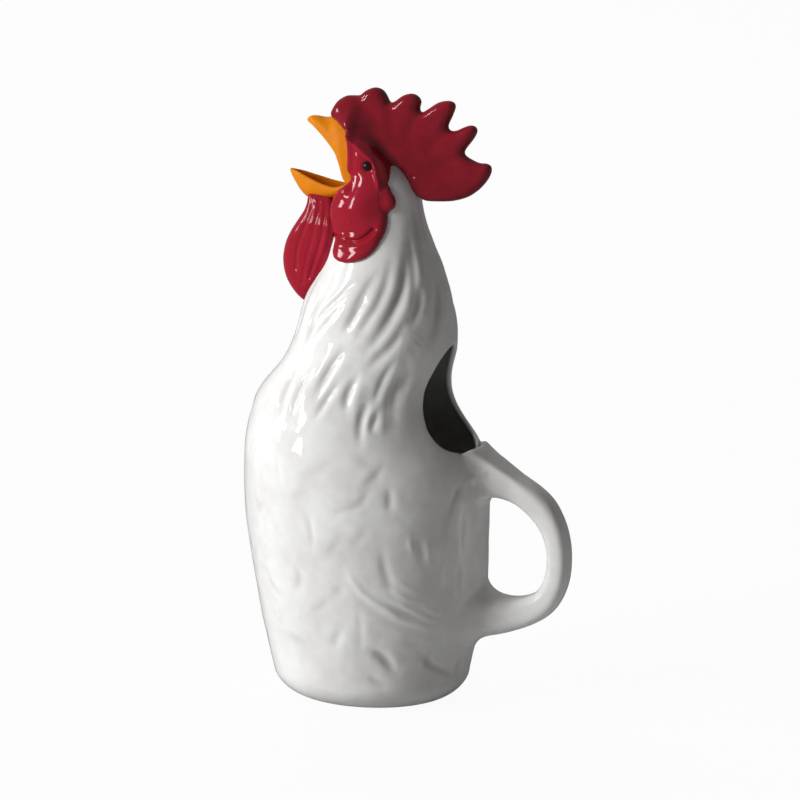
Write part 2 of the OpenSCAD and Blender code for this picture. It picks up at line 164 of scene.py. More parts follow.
# Feather cuts and ridges on the casting. Each has its height in mm, which is negative for a cut, half
# its width, how far the feather beside it swells, and its path in pixels of the photograph.
FEATHERS = (
    (-1.64, 2.8, 0.45, ((407, 246), (405, 272), (401, 293), (393, 312), (381, 331), (367, 351))),
    (-1.08, 2.4, 0.4, ((421, 286), (418, 305), (411, 324))),
    (-1.17, 2.6, 0.4, ((407, 321), (398, 336), (389, 348), (378, 358), (367, 370))),
    (-1.33, 2.4, 0.5, ((343, 349), (331, 366), (323, 379), (315, 397))),
    (-1.01, 1.9, 0.45, ((339, 382), (331, 393), (323, 404), (314, 418))),
    (-1.33, 2.2, 0.6, ((357, 376), (350, 389), (347, 399), (346, 412))),
    (-1.33, 2.2, 0.6, ((369, 401), (363, 413), (360, 425), (359, 442))),
    (-1.17, 2.1, 0.55, ((379, 412), (374, 422), (371, 434))),
    (-1.09, 3.2, 0.55, ((417, 362), (404, 380), (395, 394), (391, 410), (390, 432))),
    (-0.9, 2.2, 0.35, ((377, 272), (366, 290), (357, 305), (349, 320), (341, 334))),
    (-0.9, 1.9, 0.4, ((368, 297), (361, 308), (354, 318), (347, 330))),
    (-0.81, 1.8, 0.4, ((352, 284), (340, 297), (328, 309), (316, 322), (306, 338))),
    (-0.72, 1.6, 0.4, ((345, 302), (334, 314), (322, 328), (311, 343))),
    (-0.81, 2.2, 0.3, ((391, 262), (386, 284), (377, 304), (366, 322), (355, 340))),
    (-0.72, 1.9, 0.35, ((330, 284), (322, 298), (314, 312), (308, 326))),
    (-0.72, 1.9, 0.35, ((434, 290), (437, 312), (434, 334), (424, 352))),
    (-0.63, 1.7, 0.35, ((424, 330), (416, 346), (405, 362), (396, 374))),
    (-0.81, 2.2, 0.4, ((299, 366), (290, 380), (283, 396), (279, 410))),
    (-0.72, 1.9, 0.4, ((313, 368), (303, 384), (296, 400), (292, 416))),
    (-0.72, 1.8, 0.4, ((396, 360), (386, 374), (378, 390), (374, 404))),
    # Breast and flank: scallops, nicks and dents
    (0.5, 2.6, 0, ((283, 428), (295, 429), (307, 432))),
    (-0.46, 2.2, 0.25, ((329, 521), (340, 512), (352, 508), (362, 502), (368, 493), (377, 482))),
    (-0.53, 2.0, 0.3, ((361, 489), (370, 482), (378, 474), (384, 464))),
    (-0.73, 2.2, 0.25, ((388, 488), (390, 500), (389, 512))),
    (-0.26, 2.7, 0.25, ((297, 478), (309, 475), (320, 469), (330, 462), (340, 452))),
    (-0.4, 1.5, 0.25, ((277, 456), (278, 470), (281, 486))),
    (-0.46, 1.6, 0.25, ((307, 515), (311, 530), (313, 547))),
    (-0.4, 2.9, 0.15, ((262, 492), (270, 489))),
    (-0.26, 2.5, 0.2, ((290, 500), (299, 495), (306, 486))),
    (-0.33, 2.7, 0.2, ((351, 545), (360, 538), (367, 527))),
    (-0.23, 2.5, 0.2, ((393, 515), (402, 519), (410, 526))),
    (-0.23, 2.7, 0.2, ((352, 452), (364, 462), (373, 470), (379, 482))),
    (-0.59, 1.7, 0.35, ((267, 570), (272, 584), (279, 594), (285, 600))),
    (-0.53, 2.5, 0.2, ((297, 569), (299, 580), (294, 590))),
    (-0.46, 3.1, 0.2, ((341, 584), (337, 597))),
    (-0.46, 2.5, 0.3, ((341, 628), (336, 640), (334, 648))),
    (-0.73, 2.5, 0.3, ((382, 550), (383, 567), (387, 580), (392, 592))),
    (-0.33, 2.0, 0.2, ((359, 607), (360, 630), (361, 652))),
    (-1.25, 2.5, 0.4, ((371, 652), (381, 658), (389, 665), (396, 672))),
    (-0.66, 2.7, 0.3, ((368, 677), (377, 682), (388, 688))),
    (-0.79, 2.1, 0.35, ((420, 655), (431, 665), (443, 672), (454, 677))),
    (-0.4, 2.9, 0.2, ((286, 632), (297, 641), (309, 646))),
    (-0.33, 2.5, 0.2, ((324, 556), (334, 548), (341, 536))),
    (-0.33, 2.7, 0.2, ((402, 642), (412, 646), (424, 645))),
    (-0.33, 2.2, 0.2, ((310, 612), (322, 606), (331, 596))),
    # The folded wing's lower edge and the quills above it
    (0.93, 1.7, 0, ((345, 568), (358, 588), (370, 599), (385, 609), (400, 618), (420, 626), (446, 630))),
    (0.62, 1.2, 0, ((386, 598), (400, 605), (414, 613), (430, 620), (446, 624))),
    (0.5, 1.2, 0, ((392, 591), (405, 598), (418, 605))),
    (0.43, 1.2, 0, ((421, 604), (432, 611), (444, 616))),
    (0.37, 1.2, 0, ((398, 581), (411, 589), (422, 595))),
    (-0.56, 1.3, 0, ((390, 605), (402, 612), (414, 617), (432, 623))),
    (-0.37, 2.4, 0, ((352, 590), (366, 606), (384, 619), (404, 628), (428, 635))),
    (0.5, 1.5, 0, ((409, 536), (411, 546), (413, 556))),
    (0.56, 1.5, 0, ((427, 541), (428, 553), (431, 567))),
    (0.43, 1.3, 0, ((442, 544), (441, 556), (438, 570))),
    (0.56, 1.5, 0, ((447, 560), (446, 573), (444, 590))),
    (0.37, 1.6, 0, ((455, 566), (455, 584), (453, 600))),
    (-0.37, 1.8, 0, ((419, 538), (420, 552), (422, 566))),
    # The crease round the root of the handle
    (-0.8, 2.5, 0.45, ((478, 482), (468, 484), (460, 489), (455, 498), (452, 509), (451, 524))),
)


@functools.lru_cache(maxsize=None)
def casting_form():
    return Rings(CASTING)


@functools.lru_cache(maxsize=None)
def casting_view():
    """Points on the casting's near side that face the camera, and a tree of their pixels."""
    turn, z = np.meshgrid(np.linspace(-math.pi, 0, 260), np.arange(2, CROWN_HEIGHT - 3, 0.7))
    points = casting_form().point(z, turn)
    normal = unit(np.cross(np.gradient(points, axis=1), np.gradient(points, axis=0))).reshape(-1, 3)
    points = points.reshape(-1, 3)
    points = points[normal @ camera_frame()[3] > 0.03]
    pixels = seen_at(points)
    tree = KDTree(len(pixels))
    for i, (u, v) in enumerate(pixels):
        tree.insert((u, v, 0), i)
    tree.balance()
    return points, tree


def on_casting(pixels):
    """The points of the casting that pixels of the photograph show."""
    points, tree = casting_view()
    return np.array([points[tree.find((u, v, 0))[1]] for u, v in pixels])


def hex_to_linear(code):
    """Turns an sRGB hex colour into the linear values and the alpha that shaders take."""
    values = [int(code[i:i + 2], 16) / 255 for i in (1, 3, 5)]
    return [v / 12.92 if v <= 0.04045 else ((v + 0.055) / 1.055) ** 2.4 for v in values] + [1]


def smooth_path(points, steps):
    """Points on a smooth curve through the given ones, by Catmull and Rom's rule."""
    p = np.asarray(points, float)
    p = np.vstack([2 * p[:1] - p[1:2], p, 2 * p[-1:] - p[-2:-1]])
    t = (np.arange(steps) / steps)[:, None]
    parts = []
    for a, b, c, d in zip(p, p[1:], p[2:], p[3:]):
        parts.append((2 * b + (c - a) * t + (2 * a - 5 * b + 4 * c - d) * t ** 2
                      + (3 * b - a - 3 * c + d) * t ** 3) / 2)
    return np.vstack(parts + [p[-2:-1]])


def smooth_step(low, high, value):
    """Rises from 0 to 1 between two values, with no corner at either."""
    t = np.clip((value - low) / (high - low), 0, 1)
    return t * t * (3 - 2 * t)


def soft_least(a, b, blend):
    """The smaller of two distances, with a fillet where they meet."""
    h = np.maximum(blend - np.abs(a - b), 0) / blend
    return np.minimum(a, b) - h * h * blend / 4


def soft_most(a, b, blend):
    """The larger of two distances, with a round edge where they meet."""
    return -soft_least(-a, -b, blend)


def unit(vectors):
    return vectors / np.maximum(np.linalg.norm(vectors, axis=-1, keepdims=True), 1e-9)


def path_offset(points, path):
    """For points of 2 or 3 coordinates, the nearest segment of a path, its share and the offset."""
    start = path[:-1]
    along = path[1:] - start
    share = ((points[:, None] - start) * along).sum(-1) / (along ** 2).sum(-1)
    share = np.clip(share, 0, 1)
    offset = points[:, None] - (start + along * share[..., None])
    near = (offset ** 2).sum(-1).argmin(1)
    rows = np.arange(len(points))
    return near, share[rows, near], offset[rows, near]


class Outline:
    """A closed outline in the side view, in mm, that gives how far points lie outside it."""

    def __init__(self, points, steps=6):
        curve = smooth_path(np.vstack([points[-1:], points, points[:2]]), steps)
        self.path = curve[steps:-steps]
        margin = 20
        self.low = self.path.min(0) - margin
        self.step = 0.5
        self.shape = np.ceil((self.path.max(0) + margin - self.low) / self.step).astype(int) + 1
        axes = [self.low[i] + self.step * np.arange(self.shape[i]) for i in (0, 1)]
        grid = np.stack(np.meshgrid(*axes, indexing="ij"), -1).reshape(-1, 2)
        near = np.concatenate([np.linalg.norm(path_offset(part, self.path)[2], axis=1)
                               for part in np.array_split(grid, 40)])
        inside = np.zeros(len(grid), bool)
        for (x0, z0), (x1, z1) in zip(self.path, self.path[1:]):
            crosses = (z0 > grid[:, 1]) != (z1 > grid[:, 1])
            where = x0 + (grid[:, 1] - z0) * (x1 - x0) / (z1 - z0 if z1 != z0 else 1)
            inside ^= crosses & (grid[:, 0] < where)
        self.field = np.where(inside, -near, near).reshape(self.shape)

    def distance(self, p):
        """Reads the outline's field at the x and z of points, with smooth steps between its samples."""
        u = (p[..., 0] - self.low[0]) / self.step
        v = (p[..., 2] - self.low[1]) / self.step
        u = np.clip(u, 1, self.shape[0] - 3.001)
        v = np.clip(v, 1, self.shape[1] - 3.001)
        i = u.astype(int)
        j = v.astype(int)
        total = 0
        for di, wi in enumerate(spline_weights(u - i)):
            for dj, wj in enumerate(spline_weights(v - j)):
                total = total + wi * wj * self.field[i + di - 1, j + dj - 1]
        return total


def spline_weights(t):
    """The four weights of a cubic B-spline."""
    return ((1 - t) ** 3 / 6, (3 * t ** 3 - 6 * t ** 2 + 4) / 6,
            (-3 * t ** 3 + 3 * t ** 2 + 3 * t + 1) / 6, t ** 3 / 6)


class Rings:
    """A form of level oval rings: rows of height, reach to the front, reach to the back, half width."""

    def __init__(self, rows, soften=2.5):
        fine = smooth_path(rows, 16)
        step = 0.5
        self.low = fine[:, 0].min()
        self.high = fine[:, 0].max()
        self.z = np.arange(self.low, self.high + step / 2, step)
        order = np.argsort(fine[:, 0])
        reach = np.stack([np.interp(self.z, fine[order, 0], fine[order, c]) for c in (1, 2, 3)])
        width = int(3 * soften / step)
        kernel = np.exp(-0.5 * (np.arange(-width, width + 1) * step / soften) ** 2)
        kernel = kernel / kernel.sum()
        self.reach = [np.convolve(np.pad(r, width, "reflect", reflect_type="odd"), kernel, "valid")
                      for r in reach]

    def at(self, z, depth=0.0):
        """Reach to the front and back and half width at a height, a depth under the skin."""
        return [np.interp(z, self.z, r) - depth for r in self.reach]

    def point(self, z, turn, depth=0.0):
        """The point at a height and a turn from the back, a depth under the skin."""
        front, back, half = self.at(z, depth)
        x = (back - front) / 2 + (back + front) / 2 * np.cos(turn)
        return np.stack(np.broadcast_arrays(x, half * np.sin(turn), z), -1)

    def level_distance(self, p, z):
        front, back, half = self.at(z)
        x = p[..., 0] - (back - front) / 2
        ratio = np.hypot(x / ((back + front) / 2), p[..., 1] / half) + 1e-9
        return np.hypot(x, p[..., 1]) * (1 - 1 / ratio)

    def distance(self, p):
        """How far points lie outside the form, about."""
        z = np.clip(p[..., 2], self.low + 1, self.high - 1)
        here = self.level_distance(p, z)
        slope = (self.level_distance(p, z + 1) - self.level_distance(p, z - 1)) / 2
        here = here / np.sqrt(1 + slope ** 2)
        past = np.maximum(p[..., 2] - self.high, self.low - p[..., 2])
        return np.where(past > 0, np.hypot(np.maximum(here, 0), past), here)


def net(distance, low, high, step):
    """Covers the surface where a distance is zero with four-sided faces, about a step wide."""
    block = 4
    shape = tuple(block * math.ceil((high[i] - low[i]) / step / block) for i in range(3))
    axes = [low[i] + step * np.arange(shape[i]) for i in range(3)]
    middles = [a[::block] + step * (block - 1) / 2 for a in axes]
    coarse = distance(np.stack(np.meshgrid(*middles, indexing="ij"), -1).reshape(-1, 3))
    value = coarse.reshape(tuple(len(m) for m in middles))
    for i in range(3):
        value = np.repeat(value, block, axis=i)
    near = np.argwhere(np.abs(value) < 1.6 * block * step)
    for rows in np.array_split(near, max(1, len(near) // 20000)):
        value[tuple(rows.T)] = distance(np.asarray(low, float) + step * rows)
    cells = tuple(n - 1 for n in shape)
    total = np.zeros(cells + (3,), np.float32)
    count = np.zeros(cells, np.float32)
    crossings = []
    for d in range(3):
        first = [slice(None)] * 3
        second = [slice(None)] * 3
        first[d] = slice(0, -1)
        second[d] = slice(1, None)
        a = value[tuple(first)]
        b = value[tuple(second)]
        cross = (a < 0) != (b < 0)
        crossings.append((np.argwhere(cross), a[cross] < 0))
        share = np.where(cross, a / np.where(cross, a - b, 1), 0)
        others = [k for k in range(3) if k != d]
        for s in (0, 1):
            for t in (0, 1):
                pick = [slice(None)] * 3
                pick[others[0]] = slice(s, shape[others[0]] - 1 + s)
                pick[others[1]] = slice(t, shape[others[1]] - 1 + t)
                hit = cross[tuple(pick)]
                count += hit
                total[..., d] += np.where(hit, share[tuple(pick)], 0)
                total[..., others[0]] += hit * s
                total[..., others[1]] += hit * t
    used = count > 0
    index = np.full(cells, -1)
    index[used] = np.arange(used.sum())
    corner = np.argwhere(used)
    points = np.array([a[0] for a in axes]) + step * (corner + total[used] / count[used][:, None])
    faces = []
    for d, (edges, leaves) in enumerate(crossings):
        o1, o2 = (d + 1) % 3, (d + 2) % 3
        inner = ((edges[:, o1] > 0) & (edges[:, o2] > 0)
                 & (edges[:, o1] < shape[o1] - 1) & (edges[:, o2] < shape[o2] - 1))
        edges = edges[inner]
        leaves = leaves[inner]
        ring = []
        for s, t in ((1, 1), (0, 1), (0, 0), (1, 0)):
            cell = edges.copy()
            cell[:, o1] -= s
            cell[:, o2] -= t
            ring.append(index[tuple(cell.T)])
        quad = np.stack(ring, -1)
        faces.append(np.where(leaves[:, None], quad, quad[:, ::-1]))
    return points, np.vstack(faces)


def slope_of(distance, points, step=0.04):
    """The gradient of a distance."""
    moves = np.eye(3) * step
    return np.stack([(distance(points + m) - distance(points - m)) / (2 * step) for m in moves], -1)


def settle(distance, points, reach, rounds=3):
    """Moves points onto the surface where a distance is zero."""
    for _ in range(rounds):
        slope = slope_of(distance, points)
        move = distance(points) / np.maximum((slope ** 2).sum(-1), 0.05)
        points = points - slope * np.clip(move, -reach, reach)[:, None]
    return points


def add_object(name, data):
    thing = bpy.data.objects.new(name, data)
    bpy.context.scene.collection.objects.link(thing)
    return thing


def make_mesh(name, points, faces, normals=None, marks=None):
    """Makes an object from points in mm, keeping only the points that a face uses."""
    used = np.unique(np.concatenate([np.asarray(f).ravel() for f in faces]))
    place = np.full(len(points), -1)
    place[used] = np.arange(len(used))
    mesh = bpy.data.meshes.new("glazed_" + name)
    polygons = []
    for block in faces:
        polygons.extend(place[np.asarray(block)].tolist())
    mesh.from_pydata((points[used] * MM).tolist(), [], polygons)
    mesh.shade_smooth()
    # How deep each point lies in a cut, which the glaze turns into painted shade
    if marks is not None:
        layer = mesh.attributes.new("hollow", "FLOAT", "POINT")
        layer.data.foreach_set("value", marks[used].astype(np.float32))
    if normals is not None:
        mesh.normals_split_custom_set_from_vertices(normals[used].tolist())
    return add_object("glazed_" + name, mesh)


def dress(piece, material, slot, *nodes):
    """Gives a piece its material and its place in the frame."""
    if not piece.data.materials:
        piece.data.materials.append(material)
    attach(piece, BODY)
    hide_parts(*nodes)


def model_form(name, distance, low, high, step, shading=None):
    """Makes a closed piece from a distance."""
    points, faces = net(distance, low, high, step)
    points = settle(distance, points, step)
    normals = unit(slope_of(distance, points))
    if shading is not None:
        normals = shading(points, normals)
    return make_mesh(name, points, [faces], normals)


def toward(turn, rise):
    """The direction at a turn from the front and a rise, both in radians."""
    return np.array([math.sin(turn) * math.cos(rise), -math.cos(turn) * math.cos(rise), math.sin(rise)])


def camera_frame():
    """The camera's place in mm, and its right, up and back directions."""
    back = toward(CAMERA_TURN, CAMERA_RISE)
    right = np.array([math.cos(CAMERA_TURN), math.sin(CAMERA_TURN), 0])
    up = np.cross(back, right)
    aim = np.array([0, 0, AIM_HEIGHT])
    aim = aim + right * (SIDE / 2 - AIM_PIXEL[0]) * PIXEL + up * (AIM_PIXEL[1] - SIDE / 2) * PIXEL
    return aim + back * CAMERA_DISTANCE, right, up, back


def on_plane(pixels, y):
    """The x and z, in mm, that pixels of the photograph show on the plane of one y."""
    place, right, up, back = camera_frame()
    offset = (np.asarray(pixels, float) - SIDE / 2) * PIXEL / CAMERA_DISTANCE
    ray = offset[:, :1] * right - offset[:, 1:2] * up - back
    found = place + ray * ((y - place[1]) / ray[:, 1])[:, None]
    return found[:, [0, 2]]


def seen_at(points):
    """Where points fall in the photograph, in pixels."""
    place, right, up, back = camera_frame()
    offset = points - place
    depth = -(offset @ back) * PIXEL / CAMERA_DISTANCE
    return np.stack([SIDE / 2 + (offset @ right) / depth, SIDE / 2 - (offset @ up) / depth], -1)


class Relief:
    """The feather cuts of the casting, which are alike on its two sides."""

    def __init__(self, scale):
        paths = [(sizes, on_casting(pixels)) for *sizes, pixels in FEATHERS]
        for *sizes, turns in unseen_feathers():
            paths.append((sizes, [casting_form().point(z, math.radians(t) - math.pi) for t, z in turns]))
        self.strokes = [(height * scale, width, swell, smooth_path(path, 8))
                        for (height, width, swell), path in paths]

    def height(self, points, normals):
        """How far the relief stands out of the smooth casting at points on it."""
        flip = np.where(points[:, 1:2] > 0, np.array([1.0, -1.0, 1.0]), 1.0)
        p = points * flip
        n = normals * flip
        out = np.zeros(len(p))
        for height, width, swell, path in self.strokes:
            reach = 4.5 * width
            rows = np.nonzero(np.all((p > path.min(0) - reach) & (p < path.max(0) + reach), axis=1))[0]
            if not len(rows):
                continue
            near, share, offset = path_offset(p[rows], path)
            along = unit(path[1:] - path[:-1])[near]
            across = (offset * np.cross(n[rows], along)).sum(-1)
            far = np.linalg.norm(offset, axis=1)
            past = far - np.abs(across)
            # A stroke fades toward both of its ends, and the feather on one side of it swells
            part = np.clip((near + share) / (len(path) - 1), 0.03, 0.97)
            taper = np.clip(np.sin(np.pi * part), 0, 1) ** 0.7
            bulge = np.exp(-((across - 2.1 * width) / (1.5 * width)) ** 2 - (past / width) ** 2)
            bulge = bulge * np.where(np.abs(past) < 0.6 * width, 1, 0.6)
            out[rows] += height * taper * (np.exp(-(far / width) ** 2) - swell * bulge)
        # The casting's slow unevenness, 25 mm and 10 mm long
        rough = np.array([noise.noise(Vector(q * 0.04)) + 0.35 * noise.noise(Vector(q * 0.1 + 7))
                          for q in p])
        out += UNEVENNESS * rough * smooth_step(2, 24, points[:, 2])
        return out * opening_clearance(points)


def unseen_feathers():
    """Feathers on the breast, the throat and the back of the neck, by turn from the breast and height."""
    rows = []
    for turn, top, foot in ((12, 230, 200), (32, 224, 190), (52, 212, 184)):
        rows.append((-0.6, 2.4, 0.3, ((turn, top), (turn - 1, (top + foot) / 2), (turn - 3, foot))))
    for turn, top, foot in ((176, 286, 236), (160, 270, 224), (144, 250, 212), (168, 226, 202)):
        rows.append((-1.0, 2.6, 0.4, ((turn, top), (turn - 3, (top + foot) / 2), (turn - 9, foot))))
    for turn, height in ((16, 158), (40, 138), (8, 112), (34, 84), (14, 60), (48, 112), (26, 36), (52, 52)):
        rows.append((-0.35, 2.6, 0.3, ((turn - 5, height), (turn, height - 6), (turn + 5, height + 1))))
    for turn, top, foot in ((150, 112, 92), (162, 106, 84), (168, 26, 16), (142, 36, 24), (156, 78, 66)):
        rows.append((-0.5, 2.2, 0.3, ((turn, top), (turn - 2, (top + foot) / 2), (turn - 1, foot))))
    return rows


def opening_place(points):
    """How far points lie across the opening's axis from its middle, level and along its height."""
    rise = ((points[..., 2] - OPENING_HEIGHT) * math.cos(OPENING_SLOPE)
            - points[..., 0] * math.sin(OPENING_SLOPE))
    return points[..., 1], rise


@functools.lru_cache(maxsize=None)
def opening_rim():
    """The opening's radius for each angle over its level line, read from its near edge."""
    y, rise = opening_place(on_casting(OPENING_EDGE))
    angle = np.arctan2(rise, -y)
    radius = np.hypot(y, rise)
    rows = np.stack([angle, radius], -1)[::-1]
    low = (-math.pi - rows[1, 0], rows[1, 1])
    high = (math.pi - rows[-1, 0], rows[-1, 1])
    curve = smooth_path(np.vstack([low, rows, high]), 8)
    return curve[:, 0], curve[:, 1]


def opening_radius(angle):
    """The opening's radius toward an angle. Its two sides are alike."""
    return np.interp(np.arcsin(np.sin(angle)), *opening_rim())


def opening_share(points):
    """1 on the opening's edge, less inside it and more outside."""
    y, rise = opening_place(points)
    share = np.hypot(y, rise) / opening_radius(np.arctan2(rise, y))
    return np.where(points[..., 0] > 0, share, 9.0)


def opening_clearance(points):
    """0 at the opening's edge and the handle's roots and 1 well away from them, which stay smooth."""
    clear = smooth_step(1.02, 1.25, opening_share(points))
    for height in ROOT_HEIGHTS:
        far = np.hypot(points[..., 1] / ROOT_HALF, (points[..., 2] - height) / ROOT_TALL)
        clear = clear * np.where(points[..., 0] > 0, smooth_step(0.7, 1.1, far), 1)
    return clear


class Shell:
    """The hollow casting as rows of points, from the foot up outside and from the joint down inside."""

    columns = 360

    def __init__(self, feather_depth):
        self.casting = casting_form()
        self.relief = Relief(feather_depth / FEATHER_DEPTH)
        self.turns = 2 * math.pi * np.arange(self.columns) / self.columns
        self.points = []
        self.marks = []
        self.faces = []
        self.size = 0

    def add(self, points, marks=None):
        """Adds points and returns their indices."""
        first = self.size
        self.points.append(points)
        self.marks.append(np.zeros(len(points)) if marks is None else marks)
        self.size += len(points)
        return np.arange(first, self.size)

    def join(self, lower, upper, skip=None):
        """Puts faces between two rows of indices. The upper may have half as many as the lower."""
        n = len(lower)
        i = np.arange(n)
        if len(upper) == n:
            j = (i + 1) % n
            quads = np.stack([lower[i], lower[j], upper[j], upper[i]], -1)
            self.faces.append(quads if skip is None else quads[~skip])
            return
        half = np.arange(n // 2)
        up = upper[half]
        up_next = upper[(half + 1) % len(upper)]
        a, b, c = lower[2 * half], lower[2 * half + 1], lower[(2 * half + 2) % n]
        self.faces.append(np.stack([a, b, up], -1))
        self.faces.append(np.stack([b, c, up_next, up], -1))

    def lead(self, row, points, marks=None):
        """Joins a row to a new one and returns the new one's indices."""
        ring = self.add(points, marks)
        self.join(row, ring)
        return ring

    def cap(self, row, z):
        """Closes a row with a fan round a point at one height."""
        points = np.vstack(self.points)[row]
        middle = self.add(np.array([[points[:, 0].mean(), points[:, 1].mean(), z]]))[0]
        self.faces.append(np.stack([row, np.roll(row, -1), np.full(len(row), middle)], -1))

    def skin(self, heights):
        """Rows of the outer skin at given heights: their points, their normals and how much painted shade
        their cuts get.
        """
        grid = np.stack([self.casting.point(z, self.turns) for z in heights])
        normal = grid_normals(grid)
        height = self.relief.height(grid.reshape(-1, 3), normal.reshape(-1, 3)).reshape(grid.shape[:2])
        fade = smooth_step(4, 16, grid[..., 2])
        grid = grid + normal * (height * fade)[..., None]
        return grid, grid_normals(grid), hollows(height)

    def piece(self, name, rows, slopes):
        """Makes the mesh. Its rows by the joint get normals, so that light runs over the joint unbroken."""
        normals = np.zeros((self.size, 3))
        for row, slope in zip(rows, slopes):
            normals[row] = slope
        return make_mesh(name, np.vstack(self.points), self.faces, normals, np.concatenate(self.marks))


def grid_normals(grid):
    """The normals of rows of points that run round the casting."""
    return unit(np.cross(np.roll(grid, -1, 1) - np.roll(grid, 1, 1), np.gradient(grid, axis=0)))


def window_loop(low, top, left, right):
    """The rows and columns of a window's edge, once round."""
    return ([(low, c) for c in range(left, right)] + [(k, right) for k in range(low, top)]
            + [(top, c) for c in range(right, left, -1)] + [(k, left) for k in range(top, low, -1)])


def paint(piece, material, within):
    """Glazes a piece white, with another material on the faces that a test picks."""
    piece.data.materials.append(glaze("white"))
    piece.data.materials.append(material)
    for face in piece.data.polygons:
        if within(face):
            face.material_index = 1


def hollows(height):
    """How much painted shade the cuts get, from the height of the relief."""
    return np.clip(-height / CUT_SHADE_DEPTH, 0, 1)


class ROOSTER_OT_body(Operator):
    """Models the hollow body with its filling opening, its feathers and its foot"""

    bl_idname = "rooster.body"
    bl_label = "Body"

    def execute(self, context):
        shell = Shell(context.scene.rooster_sizes.feather_depth)
        casting = shell.casting
        grid, normal, marks = shell.skin(np.concatenate([BODY_HEIGHTS, HEAD_HEIGHTS[1:5]]))
        # Underside: a shallow hollow inside the ring that it stands on, then the round edge
        foot = casting.point(0.0, shell.turns, FOOT_REACH)
        rows = [shell.add(foot * (scale, scale, 0) + (0, 0, rise)) for scale, rise in UNDERSIDE]
        shell.cap(rows[0][::-1], UNDERSIDE[0][1])
        for t in np.linspace(0, math.pi / 2, 13)[1:-1]:
            z = FOOT_ROUND * (1 - math.cos(t))
            rows.append(shell.add(casting.point(z, shell.turns, FOOT_REACH * (1 - math.sin(t)))))
        first = len(rows)
        outer = [shell.add(grid[k], marks[k]) for k in range(BODY_ROWS + 1)]
        rows += outer
        # The window of faces that the opening replaces, of an even number of rows and columns
        top = BODY_ROWS - 2 * int((JOINT_HEIGHT - WINDOW_TOP) / ROW_STEP / 2)
        low = BODY_ROWS - 2 * int(round((JOINT_HEIGHT - WINDOW_LOW) / ROW_STEP / 2))
        skip = (np.arange(shell.columns) + WINDOW_HALF) % shell.columns < 2 * WINDOW_HALF
        for k in range(len(rows) - 1):
            shell.join(rows[k], rows[k + 1], skip if low <= k - first < top else None)
        # Inside: half as many rows and columns, from the joint down to the floor
        levels = [z for z in BODY_HEIGHTS[::-2] if z > FLOOR + FLOOR_ROUND]
        inner = [shell.add(casting.point(z, shell.turns[::2], WALL)) for z in levels]
        shell.join(outer[-1], inner[0])
        for k in range(len(inner) - 1):
            inside = BODY_ROWS - top <= 2 * k < BODY_ROWS - low
            shell.join(inner[k], inner[k + 1], skip[::2] if inside else None)
        last = inner[-1]
        for t in np.linspace(math.pi / 2, 0, 8):
            z = FLOOR + FLOOR_ROUND * (1 - math.cos(t))
            if z < levels[-1] - 0.4:
                depth = WALL + FLOOR_ROUND * (1 - math.sin(t))
                last = shell.lead(last, casting.point(z, shell.turns[::2], depth))
        ring = np.vstack(shell.points)[last]
        for scale in (0.8, 0.55, 0.3, 0.1):
            last = shell.lead(last, ring * (scale, scale, 1))
        shell.cap(last, FLOOR)
        self.add_opening(shell, outer, inner, window_loop(low, top, -WINDOW_HALF, WINDOW_HALF))
        piece = shell.piece("body", outer[-3:], normal[BODY_ROWS - 2:BODY_ROWS + 1])
        paint(piece, bare_clay(), lambda face: face.center.z < CLAY_HEIGHT * MM)
        dress(piece, glaze("white"), "white_glaze", "body_shell")
        return {"FINISHED"}

    def add_opening(self, shell, outer, inner, loop):
        """Joins the window's edge outside to the one inside, over the round lip of the opening."""
        casting = shell.casting
        outer_loop = np.array([outer[k][c % shell.columns] for k, c in loop])
        inner_loop = np.array([inner[(BODY_ROWS - k) // 2][(c % shell.columns) // 2] for k, c in loop[::2]])
        z_edge = np.array([BODY_HEIGHTS[k] for k, _ in loop])
        turn_edge = np.array([2 * math.pi * c / shell.columns for _, c in loop])
        edge = casting.point(z_edge, turn_edge)
        level, rise = opening_place(edge)
        angle = np.arctan2(rise, level)
        radius = opening_radius(angle)
        y = radius * np.cos(angle)
        z = np.full(len(loop), OPENING_HEIGHT)
        # The rim on the skin, found by turns: its place across gives its reach back, and that its height
        for _ in range(30):
            turn = np.arcsin(np.clip(y / casting.at(z)[2], -0.98, 0.98))
            fall = casting.point(z, turn)[:, 0] * math.sin(OPENING_SLOPE)
            z = OPENING_HEIGHT + (radius * np.sin(angle) + fall) / math.cos(OPENING_SLOPE)
        gap = np.linalg.norm(casting.point(z, turn) - edge, axis=1)
        shares = (0.86, 0.72, 0.58, 0.45, 0.34, 0.25, 0.18)
        bends = [(LIP * (1 - math.sin(b)), LIP * (1 - math.cos(b))) for b in np.radians(range(0, 91, 15))]
        rings = [(share, 0.0) for share in shares]
        rings += [(back / gap, depth) for back, depth in bends]
        rings += [(back / gap, EDGE_WALL - depth) for back, depth in bends[-2::-1]]
        rings += [(share, EDGE_WALL + (WALL - EDGE_WALL) * share) for share in shares[::-2]]
        row = outer_loop
        step = 0.01
        for share, depth in rings:
            ring_z = z + (z_edge - z) * share
            ring_turn = turn + (turn_edge - turn) * share
            ring = casting.point(ring_z, ring_turn, depth)
            marks = None
            if depth == 0:
                along = casting.point(ring_z, ring_turn + step) - ring
                lift = casting.point(ring_z + step, ring_turn) - ring
                normal = unit(np.cross(along, lift))
                height = shell.relief.height(ring, normal)
                ring = ring + normal * height[:, None]
                marks = hollows(height)
            row = shell.lead(row, ring, marks)
        shell.join(row, inner_loop)


